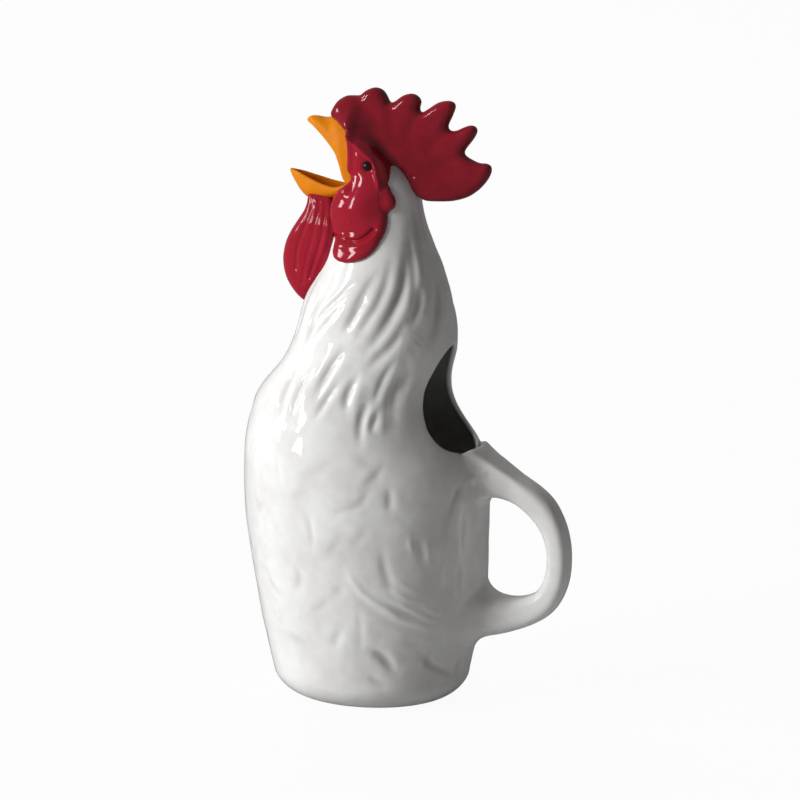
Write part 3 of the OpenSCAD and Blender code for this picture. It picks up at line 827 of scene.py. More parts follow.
class ROOSTER_OT_neck(Operator):
    """Models the hollow neck and head above the joint, with their feathers and the throat"""

    bl_idname = "rooster.neck"
    bl_label = "Neck and head"

    def execute(self, context):
        shell = Shell(context.scene.rooster_sizes.feather_depth)
        rows = shell.skin(np.concatenate([BODY_HEIGHTS[-5:-1], HEAD_HEIGHTS]))
        grid, normal, marks = (row[4:] for row in rows)
        outer = [shell.add(grid[k], marks[k]) for k in range(HEAD_ROWS + 1)]
        # The window of faces that the throat replaces, on the middle of the front
        row = int(np.argmin(np.abs(HEAD_HEIGHTS - THROAT_HEIGHT)))
        column = shell.columns // 2
        skip = np.abs(np.arange(shell.columns) + 0.5 - column) < THROAT_HALF
        for k in range(HEAD_ROWS):
            inside = -THROAT_ROWS <= k - row < THROAT_ROWS
            shell.join(outer[k], outer[k + 1], skip if inside else None)
        shell.cap(outer[-1], CROWN_HEIGHT)
        inner = [shell.add(shell.casting.point(z, shell.turns[::2], WALL))
                 for z in np.linspace(JOINT_HEIGHT, CAVITY_TOP, CAVITY_ROWS)]
        for lower, upper in zip(inner, inner[1:]):
            shell.join(upper, lower)
        shell.join(outer[0][::-1], inner[0][::-1])
        loop = window_loop(row - THROAT_ROWS, row + THROAT_ROWS, column - THROAT_HALF, column + THROAT_HALF)
        self.add_throat(shell, np.array([outer[k][c] for k, c in loop]), inner[-1])
        piece = shell.piece("neck", outer[:3], normal[:3])
        paint(piece, glaze("orange"), self.in_mouth)
        dress(piece, glaze("white"), "white_glaze", "neck_shell")
        return {"FINISHED"}

    def in_mouth(self, face):
        """Whether a face of the head lies inside the open beak."""
        x, y, z = face.center / MM
        ahead = x < 1 - 0.12 * (z - 268) and face.normal.x < 0.35
        return ahead and abs(y) < MOUTH_HALF and MOUTH_LOW < z < MOUTH_TOP

    def add_throat(self, shell, row, ceiling):
        """Joins the hole in the mouth to the top of the cavity by a bent tunnel."""
        edge = np.vstack(shell.points)[row]
        turn = np.arctan2(edge[:, 1], edge[:, 2] - THROAT_HEIGHT)
        inward = np.array([math.cos(THROAT_SLOPE), 0, -math.sin(THROAT_SLOPE)])
        rise = np.array([math.sin(THROAT_SLOPE), 0, math.cos(THROAT_SLOPE)])
        hub = np.array([-shell.casting.at(THROAT_HEIGHT)[0], 0, THROAT_HEIGHT])
        spoke = np.cos(turn)[:, None] * rise + np.sin(turn)[:, None] * (0, 1, 0)
        # The lip rounds from the skin into the tunnel
        rim = hub + spoke * (THROAT_RADIUS + THROAT_LIP)
        for _ in range(12):
            rim = rim + 0.8 * inward * shell.casting.distance(rim)[:, None]
        for share in (0.6, 0.25, 0.0):
            row = shell.lead(row, rim + (edge - rim) * share)
        for b in np.radians((30, 60, 90)):
            row = shell.lead(row, rim + THROAT_LIP * (inward * (1 - math.cos(b)) - spoke * math.sin(b)))
        start = rim + THROAT_LIP * (inward - spoke)
        count = len(ceiling)
        first = int(round(turn[0] % (2 * math.pi) / (2 * math.pi) * count))
        target = ceiling[(first + np.arange(count)) % count]
        end = np.vstack(shell.points)[target]
        leave = inward * 16
        arrive = np.array([0, 0, -14.0])
        for t in np.linspace(0, 1, 15)[1:-1]:
            row = shell.lead(row, (2 * t ** 3 - 3 * t ** 2 + 1) * start + (t ** 3 - 2 * t ** 2 + t) * leave
                             + (3 * t ** 2 - 2 * t ** 3) * end + (t ** 3 - t ** 2) * arrive)
        shell.join(row, target)


# The handle's middle line in pixels of the photograph, with half its thickness and half its width in mm
HANDLE = (
    (455, 506, 9.0, 16.0), (470, 495, 8.0, 13.5), (484, 485.5, 7.0, 11.5), (498, 484, 6.5, 10.0),
    (513, 487.5, 6.6, 9.0), (529, 495.5, 6.7, 8.5), (543, 508.5, 6.8, 8.3), (553.2, 526.5, 6.3, 8.1),
    (558.3, 544, 5.9, 8.0), (559.5, 559, 5.8, 8.0), (557.8, 576.5, 6.0, 8.0), (552.3, 591.5, 6.3, 8.1),
    (543, 603, 6.9, 8.5), (530, 609.5, 7.5, 9.0), (514, 613, 8.6, 10.0), (497, 613.5, 10.4, 12.5),
    (476, 611, 12.5, 17.0),
)
# The web that runs straight from the opening's lower edge to the back of the loop, told the same way
WEB = (
    (451.8, 432.7, 5.5, 13.0), (473, 452.3, 5.5, 12.2), (485.2, 462, 5.5, 11.2), (500, 473, 5.5, 9.8),
    (513.4, 483.4, 5.6, 8.9), (526, 493.8, 5.7, 8.5), (536.3, 503.3, 5.6, 8.1), (546, 516, 4.8, 7.3),
    (553.6, 530, 3.8, 6.0),
)
# How square the sections of the two are, where 2 is an oval, and how far to each side they are looked for
HANDLE_SQUARE = 2.9
WEB_SQUARE = 4.6
HANDLE_REACH = 34
# The pad under the upper root ends in a crease behind a low ridge. Both are read on its near flank.
ROOT_FLANK = -14.0
ROOT_CREASE = ((478, 483), (468, 490), (460, 499.5), (454.5, 511), (451.5, 523))
ROOT_RIDGE = ((500, 470), (490, 470), (477, 475.5), (465.5, 484), (456.5, 495), (450.5, 508), (448, 520))
# How far the handle's fillet lies under the body's skin at its edge, and the handle's root at its deepest
EDGE_SINK = 0.12
ROOT_SINK = 3.2
# A joined form stays within this share of its fillet's width round the smaller form
FILLET_SHARE = 0.92


def swept(rows, p, square):
    """How far points lie outside a bar with rounded corners along a path in the side view."""
    line = smooth_path(rows, 8)
    path = line[:, :2]
    near, share, offset = path_offset(p[:, [0, 2]], path)
    along = unit(path[1:] - path[:-1])[near]
    across = np.linalg.norm(offset, axis=1)
    lag = np.abs((offset * along).sum(-1))
    past = ((near == 0) & (share == 0)) | ((near == len(path) - 2) & (share == 1))
    thick = line[near, 2] + (line[near + 1, 2] - line[near, 2]) * share
    wide = line[near, 3] + (line[near + 1, 3] - line[near, 3]) * share
    ratio = ((across / thick) ** square + np.abs(p[:, 1] / wide) ** square) ** (1 / square) + 1e-9
    side = np.hypot(across, p[:, 1]) * (1 - 1 / ratio)
    return np.where(past, np.maximum(side, lag), side)


def handle_distance(casting):
    """The handle with a fillet into the casting, which ends just under the casting's skin."""
    bars = []
    for rows in (HANDLE, WEB):
        rows = np.array(rows, float)
        rows[:, :2] = on_plane(rows[:, :2], 0.0)
        bars.append(rows)
    crease = smooth_path(on_plane(ROOT_CREASE, ROOT_FLANK), 6)
    ridge = smooth_path(on_plane(ROOT_RIDGE, ROOT_FLANK), 6)

    def distance(p):
        x, y, z = p.T
        side = np.abs(y)
        body = casting.distance(p)
        grip = np.full(len(p), 40.0)
        near = np.nonzero(side < HANDLE_REACH)[0]
        loop = swept(bars[0], p[near], HANDLE_SQUARE)
        web = swept(bars[1], p[near], WEB_SQUARE)
        grip[near] = soft_least(loop, web, 2.0 + 4.5 * smooth_step(80, 66, x[near]))
        # The fillet into the body is wider on the upper root's pad and round the lower root
        blend = 6.0 + 4.0 * smooth_step(114, 124, z) * smooth_step(152, 134, z) + 6.0 * smooth_step(72, 50, z)
        joined = soft_least(grip, body + EDGE_SINK, blend)
        flank = smooth_step(7, 11, side) * smooth_step(14, 9, grip)
        joined = joined + (0.35 * path_bump(p, crease, 2.6) - 0.4 * path_bump(p, ridge, 2.4)) * flank
        joined = np.maximum(joined, grip - FILLET_SHARE * blend)
        joined = np.maximum(joined, -(body + ROOT_SINK))
        # The opening's outline cuts the pad, and drops as the pad stands out of the body
        lifted = p - np.array([0, 0, 0.75]) * np.clip(body, 0, 6)[:, None]
        cut = (1.0 - opening_share(lifted)) * 25 - 0.05
        return soft_most(joined, cut, 2.4)

    return distance


class ROOSTER_OT_handle(Operator):
    """Models the loop handle, which flares into the body at both of its roots"""

    bl_idname = "rooster.handle"
    bl_label = "Handle"

    def execute(self, context):
        casting = casting_form()

        def shading(points, normals):
            """Turns the fillet's thin edge to the casting's own slope, so that the two glazes meet."""
            share = smooth_step(1.5, 0.1, casting.distance(points))[:, None]
            return unit(normals * (1 - share) + unit(slope_of(casting.distance, points)) * share)

        piece = model_form("handle", handle_distance(casting), (24, -44, 8), (112, 44, 162), 0.9, shading)
        dress(piece, glaze("white"), "white_glaze", "handle")
        return {"FINISHED"}


# The comb's outline in pixels of the photograph
COMB_OUTLINE = (
    (332.5, 113), (334.8, 106.8), (339.3, 100), (346.4, 95.6), (353.3, 95.1), (360, 94.6), (366.2, 90),
    (375, 87), (382.2, 89.2), (386.8, 94.6), (389.6, 100.4), (391.6, 102), (395.3, 100.7), (403, 95.3),
    (411.5, 93.2), (418.2, 95.9), (421.6, 101.7), (420.6, 107.5), (420.8, 110.6), (423, 111.6),
    (428, 108.8), (437.8, 102.5), (446.7, 100.4), (453.2, 101.7), (456, 106.7), (453.4, 115.3),
    (449.5, 124.2), (449.2, 128.2), (451.6, 130.3), (456.7, 130.1), (464.6, 126.7), (471, 125),
    (476, 126.9), (477.6, 131.9), (474.3, 139), (468, 147.3), (465.3, 152.3), (467, 155.8),
    (473.8, 160.2), (480.2, 162.7), (487, 163.4), (491.4, 166.8), (491.4, 173.8), (486.5, 182.5),
    (478.8, 190.6), (468.5, 197.2), (455, 201), (441.7, 201.6), (427.5, 200.8), (420.6, 197.6),
    (414.4, 193.8), (409, 187), (404.8, 179), (400.6, 170.3), (395.4, 162.4), (389.2, 154.2),
    (385, 149.5), (377, 140.5), (369, 133), (362.5, 126.8), (352.8, 122.4), (342.8, 119), (336, 117.4),
)
# Shallow valleys that run in from the comb's notches
COMB_VALLEYS = (
    ((358, 90), (363, 101), (369, 113)), ((391, 98), (394, 113), (396, 128)),
    ((420, 108), (416, 122), (412, 136)), ((449, 126), (441, 139), (432, 150)),
    ((465, 153), (452, 162), (440, 168)),
)
# A dimple in the comb's side, and two places where its foot is thicker
COMB_DIMPLE = (413.0, 176.0)
COMB_FOOT = ((372, 130), (350, 117))
# The border of the raised red skin. What lies left of and above FACE_FRONT is ahead of the casting, on the
# cheek beside the beaks, and what lies above FACE_TOP is on the comb. Each has its own plane.
FACE_OUTLINE = (
    (343, 115), (346, 124), (347, 131), (348.2, 141), (349, 153), (351.2, 168), (352.4, 178.5),
    (346.5, 185), (340.6, 188.7), (334.7, 195), (332.2, 203), (331.4, 213), (331.8, 226), (334.2, 234.5),
    (335.2, 239.5), (333.8, 246), (333, 251.5), (334.6, 257.5), (340, 262.3), (348.3, 263.2),
    (358.3, 261.4), (366.7, 257.6), (374.4, 251), (380, 243), (385.4, 233), (388, 224), (388, 216),
    (386.4, 209), (385.6, 198), (386.2, 187), (389.3, 178.3), (390.6, 170), (389.8, 160), (386.5, 146),
    (374, 128), (360, 112),
)
FACE_FRONT = (349, 235)
FACE_TOP = 130
CHEEK_PLANE = -11.0
COMB_PLANE = -6.0
# Creases and swellings of the face: height in mm, width in mm and path in pixels of the photograph
BROW_BEAD = ((346, 124), (351, 136), (360, 145.8), (368.3, 153), (373.5, 159.2), (376.9, 168.3),
             (379.2, 178.3), (381.4, 186))
FACE_LINES = (
    # The fold under the eye, the ridge below it and the broad roll under both
    (-1.4, 1.2, ((329, 231), (335.8, 235), (341.7, 238.3), (350, 240.3), (360, 239.4), (368.3, 235.4),
                 (374.5, 229))),
    (0.5, 1.6, ((334, 241.5), (341.7, 245), (350, 246.6), (360, 245.6), (369.5, 241.4), (377, 233.5))),
    (0.5, 3.2, ((338, 253), (345, 255.5), (354, 255), (363, 252), (372, 245.5), (379, 235), (382, 224))),
    # The brow's bead, on a broader swelling
    (1.1, 1.3, BROW_BEAD),
    (0.3, 4.0, BROW_BEAD),
)
EYE_PIXEL = (368.3, 165.9)
TEMPLE_PIXEL = (352, 127)
FACE_MARK = (351.5, 221)
# The cheek swells most at one height, and not beyond its reach above and below it, in mm
CHEEK_HEIGHT = 263.5
CHEEK_REACH = 15.5


def path_bump(p, path, width):
    """1 on a path in the side view and less beside it."""
    flat = p[:, [0, 2]]
    reach = 3 * width
    near = np.nonzero(np.all((flat > path.min(0) - reach) & (flat < path.max(0) + reach), axis=1))[0]
    bump = np.zeros(len(p))
    if len(near):
        offset = path_offset(flat[near], path)[2]
        bump[near] = np.exp(-(offset ** 2).sum(-1) / width ** 2)
    return bump


def spot(p, place, width):
    """1 at a place in the side view and less round it."""
    return np.exp(-((p[:, 0] - place[0]) ** 2 + (p[:, 2] - place[1]) ** 2) / width ** 2)


@functools.lru_cache(maxsize=None)
def face_distance():
    """The raised skin of the face: how far points lie outside it."""
    head = casting_form()
    border = on_casting(FACE_OUTLINE)[:, [0, 2]]
    front = np.array([u < FACE_FRONT[0] and v < FACE_FRONT[1] for u, v in FACE_OUTLINE])
    top = np.array([v < FACE_TOP for u, v in FACE_OUTLINE])
    border[front] = on_plane(FACE_OUTLINE, CHEEK_PLANE)[front]
    border[top] = on_plane(FACE_OUTLINE, COMB_PLANE)[top]
    outline = Outline(border)
    lines = [(rise, width, smooth_path(on_casting(pixels)[:, [0, 2]], 6))
             for rise, width, pixels in FACE_LINES]
    eye, brow, temple, mark = on_casting((EYE_PIXEL, BROW_BEAD[0], TEMPLE_PIXEL, FACE_MARK))[:, [0, 2]]

    def distance(p):
        x, _, z = p.T
        body = head.distance(p)
        cheek = np.clip(1 - ((z - CHEEK_HEIGHT) / CHEEK_REACH) ** 2, 0, 1) ** 2
        height = 2.1 + 3.3 * cheek * smooth_step(17, -3, x)
        for rise, width, path in lines:
            height = height + rise * path_bump(p, path, width)
        # It is thicker below the comb and behind the beaks
        height = height + 1.0 * smooth_step(273, 291, z) * smooth_step(6, -6, x)
        height = height + 2.6 * smooth_step(-3.5, -10, x) * smooth_step(264, 272, z)
        height = height + 0.6 * spot(p, temple, 4.5) + 0.4 * spot(p, brow, 5)
        # A rim round the socket of the eye, and a fine round mark on the cheek
        far = np.hypot(x - eye[0], z - eye[1])
        ring = np.hypot(x - mark[0], z - mark[1])
        height = height + 0.4 * np.exp(-((far - 3.6) / 0.9) ** 2) - 0.9 * np.exp(-(far / 4.6) ** 4)
        height = height - 0.14 * np.exp(-((ring - 2.2) / 0.7) ** 2)
        return np.maximum(soft_most(body - height, outline.distance(p), 3.2), -(body + 1.2))

    return distance


class ROOSTER_OT_comb(Operator):
    """Models the comb with its thick rounded points, and its fillet into the face"""

    bl_idname = "rooster.comb"
    bl_label = "Comb"

    def execute(self, context):
        outline = Outline(on_plane(COMB_OUTLINE, 0.0))
        valleys = [smooth_path(on_plane(pixels, 0.0), 4) for pixels in COMB_VALLEYS]
        dimple = on_plane((COMB_DIMPLE,), -5.0)[0]
        foot = on_plane(COMB_FOOT, 0.0)
        face = face_distance()

        def distance(p):
            # Half its thickness, which thins from the middle of its foot toward the points
            far = np.hypot(p[:, 0] + 1, p[:, 2] - 272)
            half = 6.6 - 2.4 * smooth_step(14, 60, far)
            for valley in valleys:
                half = half - 0.6 * path_bump(p, valley, 3.4)
            half = half + 0.7 * spot(p, foot[0], 9) + 0.8 * spot(p, foot[1], 8)
            half = half - 0.9 * spot(p, dimple, 1.5) + 0.35 * spot(p, dimple, 3.2)
            edge = 8.5 - 3.5 * smooth_step(12, 36, far)
            slab = soft_most(outline.distance(p) + 0.15, np.abs(p[:, 1]) - half, edge)
            fillet = 6.5 + 5.0 * smooth_step(8, -6, p[:, 0])
            joined = np.where(p[:, 0] < 20, soft_least(slab, face(p) + 0.3, fillet), slab)
            return np.maximum(joined, slab - FILLET_SHARE * fillet)

        piece = model_form("comb", distance, (-25, -20, 262), (66, 20, 324), 0.7)
        # The comb's deeper red is painted shade
        dress(piece, glaze("thick_red"), "red_glaze", "comb")
        return {"FINISHED"}


class ROOSTER_OT_face(Operator):
    """Models the raised red skin of the face, with its brow, its cheek and the fold under it"""

    bl_idname = "rooster.face"
    bl_label = "Face"

    def execute(self, context):
        piece = model_form("face", face_distance(), (-38, -32, 226), (20, 32, 310), 0.6)
        dress(piece, glaze("red"), "red_glaze", "face")
        return {"FINISHED"}


# The near wattle's outline in pixels of the photograph, and its grooves with their depth in mm
WATTLE_OUTLINE = (
    (310, 192), (307.5, 197), (306.4, 203.3), (303.3, 210.8), (297.4, 220), (291.6, 229.2), (286.6, 240),
    (284, 251.7), (283.6, 260), (284.8, 270), (288.1, 280), (294, 290), (299.8, 296.8), (305, 300.6),
    (308.3, 298), (315.2, 287), (321.7, 277), (328, 269), (331.6, 260), (332.6, 253), (333, 246),
    (335, 238), (336, 226), (336, 212), (335, 200), (332, 193), (320, 191),
)
WATTLE_GROOVES = (
    (0.6, ((313, 197), (311, 212), (304, 230), (298, 250), (297, 268))),
    (0.4, ((319, 198), (318, 215), (313, 236), (308, 256), (303, 282))),
    (0.65, ((325, 199), (325, 216), (322, 236), (317, 256), (310, 277))),
    (0.45, ((331, 204), (331, 222), (329, 240), (325, 256), (318, 272))),
)
WATTLE_SWELL = (303, 256)
# How far the middle of its tip stands off the middle plane, in mm, and how fast it spreads toward the rear
WATTLE_TIP_MIDDLE = 5.0
WATTLE_SPREAD = 0.33


def wattle_middle(x, z):
    """How far a wattle's middle stands off the middle plane: it spreads to lie along the throat."""
    return WATTLE_TIP_MIDDLE + WATTLE_SPREAD * np.clip(x + 44, -4, 32) * smooth_step(266, 250, z)


def on_wattle(pixels, lift=0.0):
    """The x and z that pixels of the photograph show on the near wattle."""
    flat = on_plane(pixels, -WATTLE_TIP_MIDDLE)
    for _ in range(6):
        middle = wattle_middle(flat[:, 0], flat[:, 1]) + lift
        flat = np.array([on_plane((pixel,), -y)[0] for pixel, y in zip(pixels, middle)])
    return flat


class ROOSTER_OT_wattles(Operator):
    """Models the two grooved wattles under the beak"""

    bl_idname = "rooster.wattles"
    bl_label = "Wattles"

    def execute(self, context):
        outline = Outline(on_wattle(WATTLE_OUTLINE))
        grooves = [(depth, smooth_path(on_wattle(pixels, 3.0), 4)) for depth, pixels in WATTLE_GROOVES]
        swell = on_wattle((WATTLE_SWELL,))[0]
        for side, name in ((-1, "left_wattle"), (1, "right_wattle")):

            def distance(p):
                x, y, z = p.T
                half = 3.0 + 1.5 * spot(p, swell, 17)
                for depth, groove in grooves:
                    half = half - depth * path_bump(p, groove, 1.2) * smooth_step(266, 252, z)
                    half = half + 0.2 * path_bump(p, groove + (1.9, 0.4), 1.5)
                across = np.abs(side * y - wattle_middle(x, z)) / math.hypot(1, WATTLE_SPREAD)
                return soft_most(outline.distance(p), across - half, 5.0)

            ends = sorted((side * 0.2, side * 22.0))
            piece = model_form(name, distance, (-50, ends[0], 205), (-12, ends[1], 272), 0.6)
            dress(piece, glaze("red"), "red_glaze", name)
        return {"FINISHED"}


# Beak sections: the arch's top and the rim at its foot, in pixels of the photograph, half the rim's width
# and the wall, in mm
UPPER_BEAK = (
    (351, 111, 352.6, 190, 12.6, 2.4), (340, 113.6, 342.6, 178, 11.6, 2.4),
    (331, 116.2, 340.2, 169.5, 9.9, 2.4), (325, 116.6, 335.8, 155.5, 8.4, 2.4),
    (318.5, 115.4, 328.5, 143.8, 6.6, 2.3), (313, 115.2, 319, 132, 4.6, 2.1),
    (309.6, 116.4, 312, 124.6, 2.6, 1.7), (307.4, 118.7, 307.9, 121, 0.9, 0.7),
)
LOWER_BEAK = (
    (363, 198.5, 362, 171, 12.2, 2.2), (344, 198.3, 344.6, 185.5, 11.6, 2.2),
    (331, 198, 333.5, 189.2, 10.6, 2.2), (318, 197.8, 322, 186.4, 9.3, 2.2),
    (308.5, 196.3, 312, 181.8, 7.7, 2.1), (301.5, 189.6, 304.5, 177.6, 5.9, 2.0),
    (296.5, 181.8, 298.5, 173.8, 4.2, 1.7), (292.6, 175.2, 293.8, 170.8, 2.3, 1.3),
    (290.3, 169.8, 290.6, 168.6, 0.8, 0.6),
)
# Points along the arch, outside and inside, and round the rim at each of its feet
ARCH_POINTS = 41
RIM_POINTS = 5


def beak_sections(rows):
    """Sections in mm: the arch's top on the middle plane and its rim on the near side."""
    rows = np.array(rows, float)
    top = on_plane(rows[:, :2], 0.0)
    rim = np.array([on_plane((row[2:4],), -row[4])[0] for row in rows])
    return np.hstack([top, rim, rows[:, 4:]])


def beak_ring(top_x, top_z, foot_x, foot_z, half, wall):
    """The points round one section: the arch outside, a round rim, the arch inside and the other rim."""
    arch = np.linspace(0, math.pi, ARCH_POINTS)
    bend = np.linspace(0, math.pi, RIM_POINTS + 2)[1:-1]
    rise = np.array([top_x - foot_x, top_z - foot_z])
    high = np.linalg.norm(rise)
    rise = rise / high
    t = wall / 2
    mid_half, mid_high = half - t, max(high - t, t)
    middle = np.stack([mid_half * np.cos(arch), mid_high * np.sin(arch)], -1)
    out = unit(np.stack([mid_high * np.cos(arch), mid_half * np.sin(arch)], -1))
    rims = [np.stack([side * mid_half - t * np.cos(bend), -t * np.sin(bend)], -1) for side in (-1, 1)]
    across, up = np.vstack([middle + out * t, rims[0], (middle - out * t)[::-1], rims[1]]).T
    return np.stack([foot_x + rise[0] * up, across, foot_z + rise[1] * up], -1)


def beak_mesh(name, sections):
    """Sweeps a rounded arch through its sections and closes both of its ends."""
    rings = np.array([beak_ring(*row) for row in smooth_path(beak_sections(sections), 9)])
    count = rings.shape[1]
    i = np.arange(count)
    j = (i + 1) % count
    faces = [np.stack([k * count + i, k * count + j, (k + 1) * count + j, (k + 1) * count + i], -1)
             for k in range(len(rings) - 1)]
    # Each end is closed by a strip between the two arches and by a fan in each rim
    outer = np.arange(ARCH_POINTS)
    inner = 2 * ARCH_POINTS + RIM_POINTS - 1 - outer
    strip = np.stack([outer[:-1], outer[1:], inner[1:], inner[:-1]], -1)
    fans = []
    for foot in (ARCH_POINTS - 1, count - RIM_POINTS - 1):
        rim = (foot + np.arange(RIM_POINTS + 2)) % count
        fans.append(np.stack([np.full(RIM_POINTS, rim[0]), rim[1:-1], rim[2:]], -1))
    for first, way in ((0, 1), ((len(rings) - 1) * count, -1)):
        faces.append(first + strip[:, ::-way])
        faces.extend(first + fan[:, ::way] for fan in fans)
    return make_mesh(name, rings.reshape(-1, 3), faces)


class ROOSTER_OT_beaks(Operator):
    """Models the upper and the lower beak, which gape as the rooster crows"""

    bl_idname = "rooster.beaks"
    bl_label = "Beaks"

    def execute(self, context):
        for name, sections in (("upper_beak", UPPER_BEAK), ("lower_beak", LOWER_BEAK)):
            piece = beak_mesh(name, sections)
            dress(piece, glaze("orange"), "orange_glaze", name)
        return {"FINISHED"}


# A drop that hangs from the rear border of the face: pixels of the photograph and radius in mm
EARLOBE = ((387.6, 191, 1.5), (389.4, 197.5, 2.2), (390.4, 204.6, 3.0))


class ROOSTER_OT_earlobes(Operator):
    """Models the two drop-shaped earlobes behind the face"""

    bl_idname = "rooster.earlobes"
    bl_label = "Earlobes"

    def execute(self, context):
        head = casting_form()
        face = face_distance()
        places = on_casting([row[:2] for row in EARLOBE])
        for side, name in ((-1, "left_earlobe"), (1, "right_earlobe")):
            drops = [(q * (1, -side, 1) + (0, side * 0.3, 0), row[2]) for q, row in zip(places, EARLOBE)]

            def distance(p):
                forms = [np.linalg.norm(p - centre, axis=-1) - radius for centre, radius in drops]
                drop = soft_least(soft_least(forms[0], forms[1], 3.0), forms[2], 3.5)
                joined = soft_least(drop, face(p) + 0.15, 4.0)
                joined = np.maximum(joined, drop - 2.4)
                return np.maximum(joined, -(head.distance(p) + 1.5))

            low, high = (8, side * 17 - 7, 256), (24, side * 17 + 7, 276)
            piece = model_form(name, distance, low, high, 0.35)
            dress(piece, glaze("red"), "red_glaze", name)
        return {"FINISHED"}


def add_node(tree, kind, inputs=None, **settings):
    """Adds a node, sets its settings, and sets or links its inputs by name or number."""
    node = tree.nodes.new(kind)
    for key, value in settings.items():
        setattr(node, key, value)
    for key, value in (inputs or {}).items():
        socket = node.inputs[key]
        if isinstance(value, bpy.types.NodeSocket):
            tree.links.new(value, socket)
        else:
            socket.default_value = value
    return node


def add_maths(tree, operation, first, second):
    return add_node(tree, "ShaderNodeMath", {0: first, 1: second}, operation=operation).outputs[0]


def empty_tree(owner):
    """Gives a material or a world an empty node tree."""
    owner.use_nodes = True
    owner.node_tree.nodes.clear()
    return owner.node_tree


def add_noise(tree, place, scale, detail):
    inputs = {"Vector": place, "Scale": scale, "Detail": detail}
    return add_node(tree, "ShaderNodeTexNoise", inputs).outputs[0]


def add_bump(tree, height, strength, distance):
    inputs = {"Height": height, "Strength": strength, "Distance": distance}
    return add_node(tree, "ShaderNodeBump", inputs).outputs[0]


def add_tone(tree, share, first, second):
    """Mixes two colours."""
    return add_node(tree, "ShaderNodeMix", {0: share, 6: first, 7: second}, data_type="RGBA").outputs[2]


# Gloss glazes over earthenware. Each has its colour, the paler one where it runs thin, the deeper one that is
# painted into the feather cuts as painted shade, its roughness, how far its surface waves and its index of
# refraction.
GLAZES = {
    # Opaque milky white, with warm grey painted into the feather cuts as painted shade
    "white": ("#DAD9D7", "#E3E3E2", "#AEAAA7", 0.07, 0.16, 1.52),
    # Deep red, a little rosy where it thins
    "red": ("#8E1224", "#98172B", "#6A0A18", 0.08, 0.2, 1.52),
    # The same red a shade deeper, for the comb: painted shade
    "thick_red": ("#740D1B", "#801222", "#560814", 0.08, 0.2, 1.52),
    # Amber orange with broad soft highlights
    "orange": ("#CA7407", "#D27D10", "#944D08", 0.34, 0.05, 1.22),
    # Black with sharp glints, for the eyes
    "black": ("#0C0A0A", "#141010", "#050404", 0.05, 0.0, 1.52),
}


def glaze(kind):
    """A clear gloss glaze over its colour, which pales where it runs thin and is painted deeper in the cuts,
    as painted shade.
    """
    name = kind + "_gloss_glaze_on_earthenware"
    if name in bpy.data.materials:
        return bpy.data.materials[name]
    *codes, rough, waver, ior = GLAZES[kind]
    colour, thin, cut_shade = (hex_to_linear(code) for code in codes)
    material = bpy.data.materials.new(name)
    tree = empty_tree(material)
    place = add_node(tree, "ShaderNodeTexCoord").outputs["Object"]
    # Broad clouding of the glaze, 25 mm across, and a finer one of 6 mm
    cloud = add_node(tree, "ShaderNodeMix", {0: 0.35, 2: add_noise(tree, place, 40, 3),
                                             3: add_noise(tree, place, 160, 4)}).outputs[0]
    ramp = add_node(tree, "ShaderNodeMapRange", {0: cloud, 1: 0.38, 2: 0.64}).outputs[0]
    # Painted shade: the feather cuts get the deeper colour, by their depth
    hollow = add_node(tree, "ShaderNodeAttribute", attribute_name="hollow").outputs["Fac"]
    toned = add_tone(tree, hollow, add_tone(tree, ramp, colour, thin), cut_shade)
    # The glaze's slow wave, about 9 mm long
    wave = add_noise(tree, place, 110, 1.5)
    bump = add_bump(tree, wave, waver, 0.0012)
    shader = add_node(tree, "ShaderNodeBsdfPrincipled", {
        "Base Color": toned, "Roughness": rough, "IOR": ior, "Normal": bump})
    add_node(tree, "ShaderNodeOutputMaterial", {"Surface": shader.outputs[0]})
    return material


def bare_clay():
    # Unglazed fired clay of the foot: matt, pale buff, with fine grit
    name = "bare_fired_clay"
    if name in bpy.data.materials:
        return bpy.data.materials[name]
    material = bpy.data.materials.new(name)
    tree = empty_tree(material)
    place = add_node(tree, "ShaderNodeTexCoord").outputs["Object"]
    grit = add_noise(tree, place, 900, 6)
    ramp = add_node(tree, "ShaderNodeMapRange", {0: grit, 1: 0.3, 2: 0.7}).outputs[0]
    tone = add_tone(tree, ramp, hex_to_linear("#C9BBA6"), hex_to_linear("#DCD0BE"))
    bump = add_bump(tree, grit, 0.4, 0.0002)
    shader = add_node(tree, "ShaderNodeBsdfPrincipled", {
        "Base Color": tone, "Roughness": 0.85, "Normal": bump})
    add_node(tree, "ShaderNodeOutputMaterial", {"Surface": shader.outputs[0]})
    return material


def add_pair_tree(material):
    """A node tree that sets one bead on each side of the middle plane."""
    tree = bpy.data.node_groups.new("mirrored_beads", "GeometryNodeTree")
    for name in ("Place", "Spacing"):
        tree.interface.new_socket(name, in_out="INPUT", socket_type="NodeSocketVector")
    tree.interface.new_socket("Radius", in_out="INPUT", socket_type="NodeSocketFloat")
    tree.interface.new_socket("Geometry", in_out="OUTPUT", socket_type="NodeSocketGeometry")
    sizes = add_node(tree, "NodeGroupInput").outputs
    pair = add_node(tree, "GeometryNodeMeshLine", {
        "Count": 2, "Start Location": sizes["Place"], "Offset": sizes["Spacing"]}).outputs[0]
    bead = add_node(tree, "GeometryNodeMeshUVSphere", {
        "Segments": 64, "Rings": 40, "Radius": sizes["Radius"]}).outputs[0]
    beads = add_node(tree, "GeometryNodeInstanceOnPoints", {"Points": pair, "Instance": bead}).outputs[0]
    whole = add_node(tree, "GeometryNodeRealizeInstances", {"Geometry": beads}).outputs[0]
    smooth = add_node(tree, "GeometryNodeSetShadeSmooth", {"Geometry": whole}).outputs[0]
    glazed = add_node(tree, "GeometryNodeSetMaterial", {"Geometry": smooth, "Material": material}).outputs[0]
    add_node(tree, "NodeGroupOutput", {"Geometry": glazed})
    return tree


# How far the middle of an eye stands out of the casting, in metres
EYE_PROUD = 0.0002


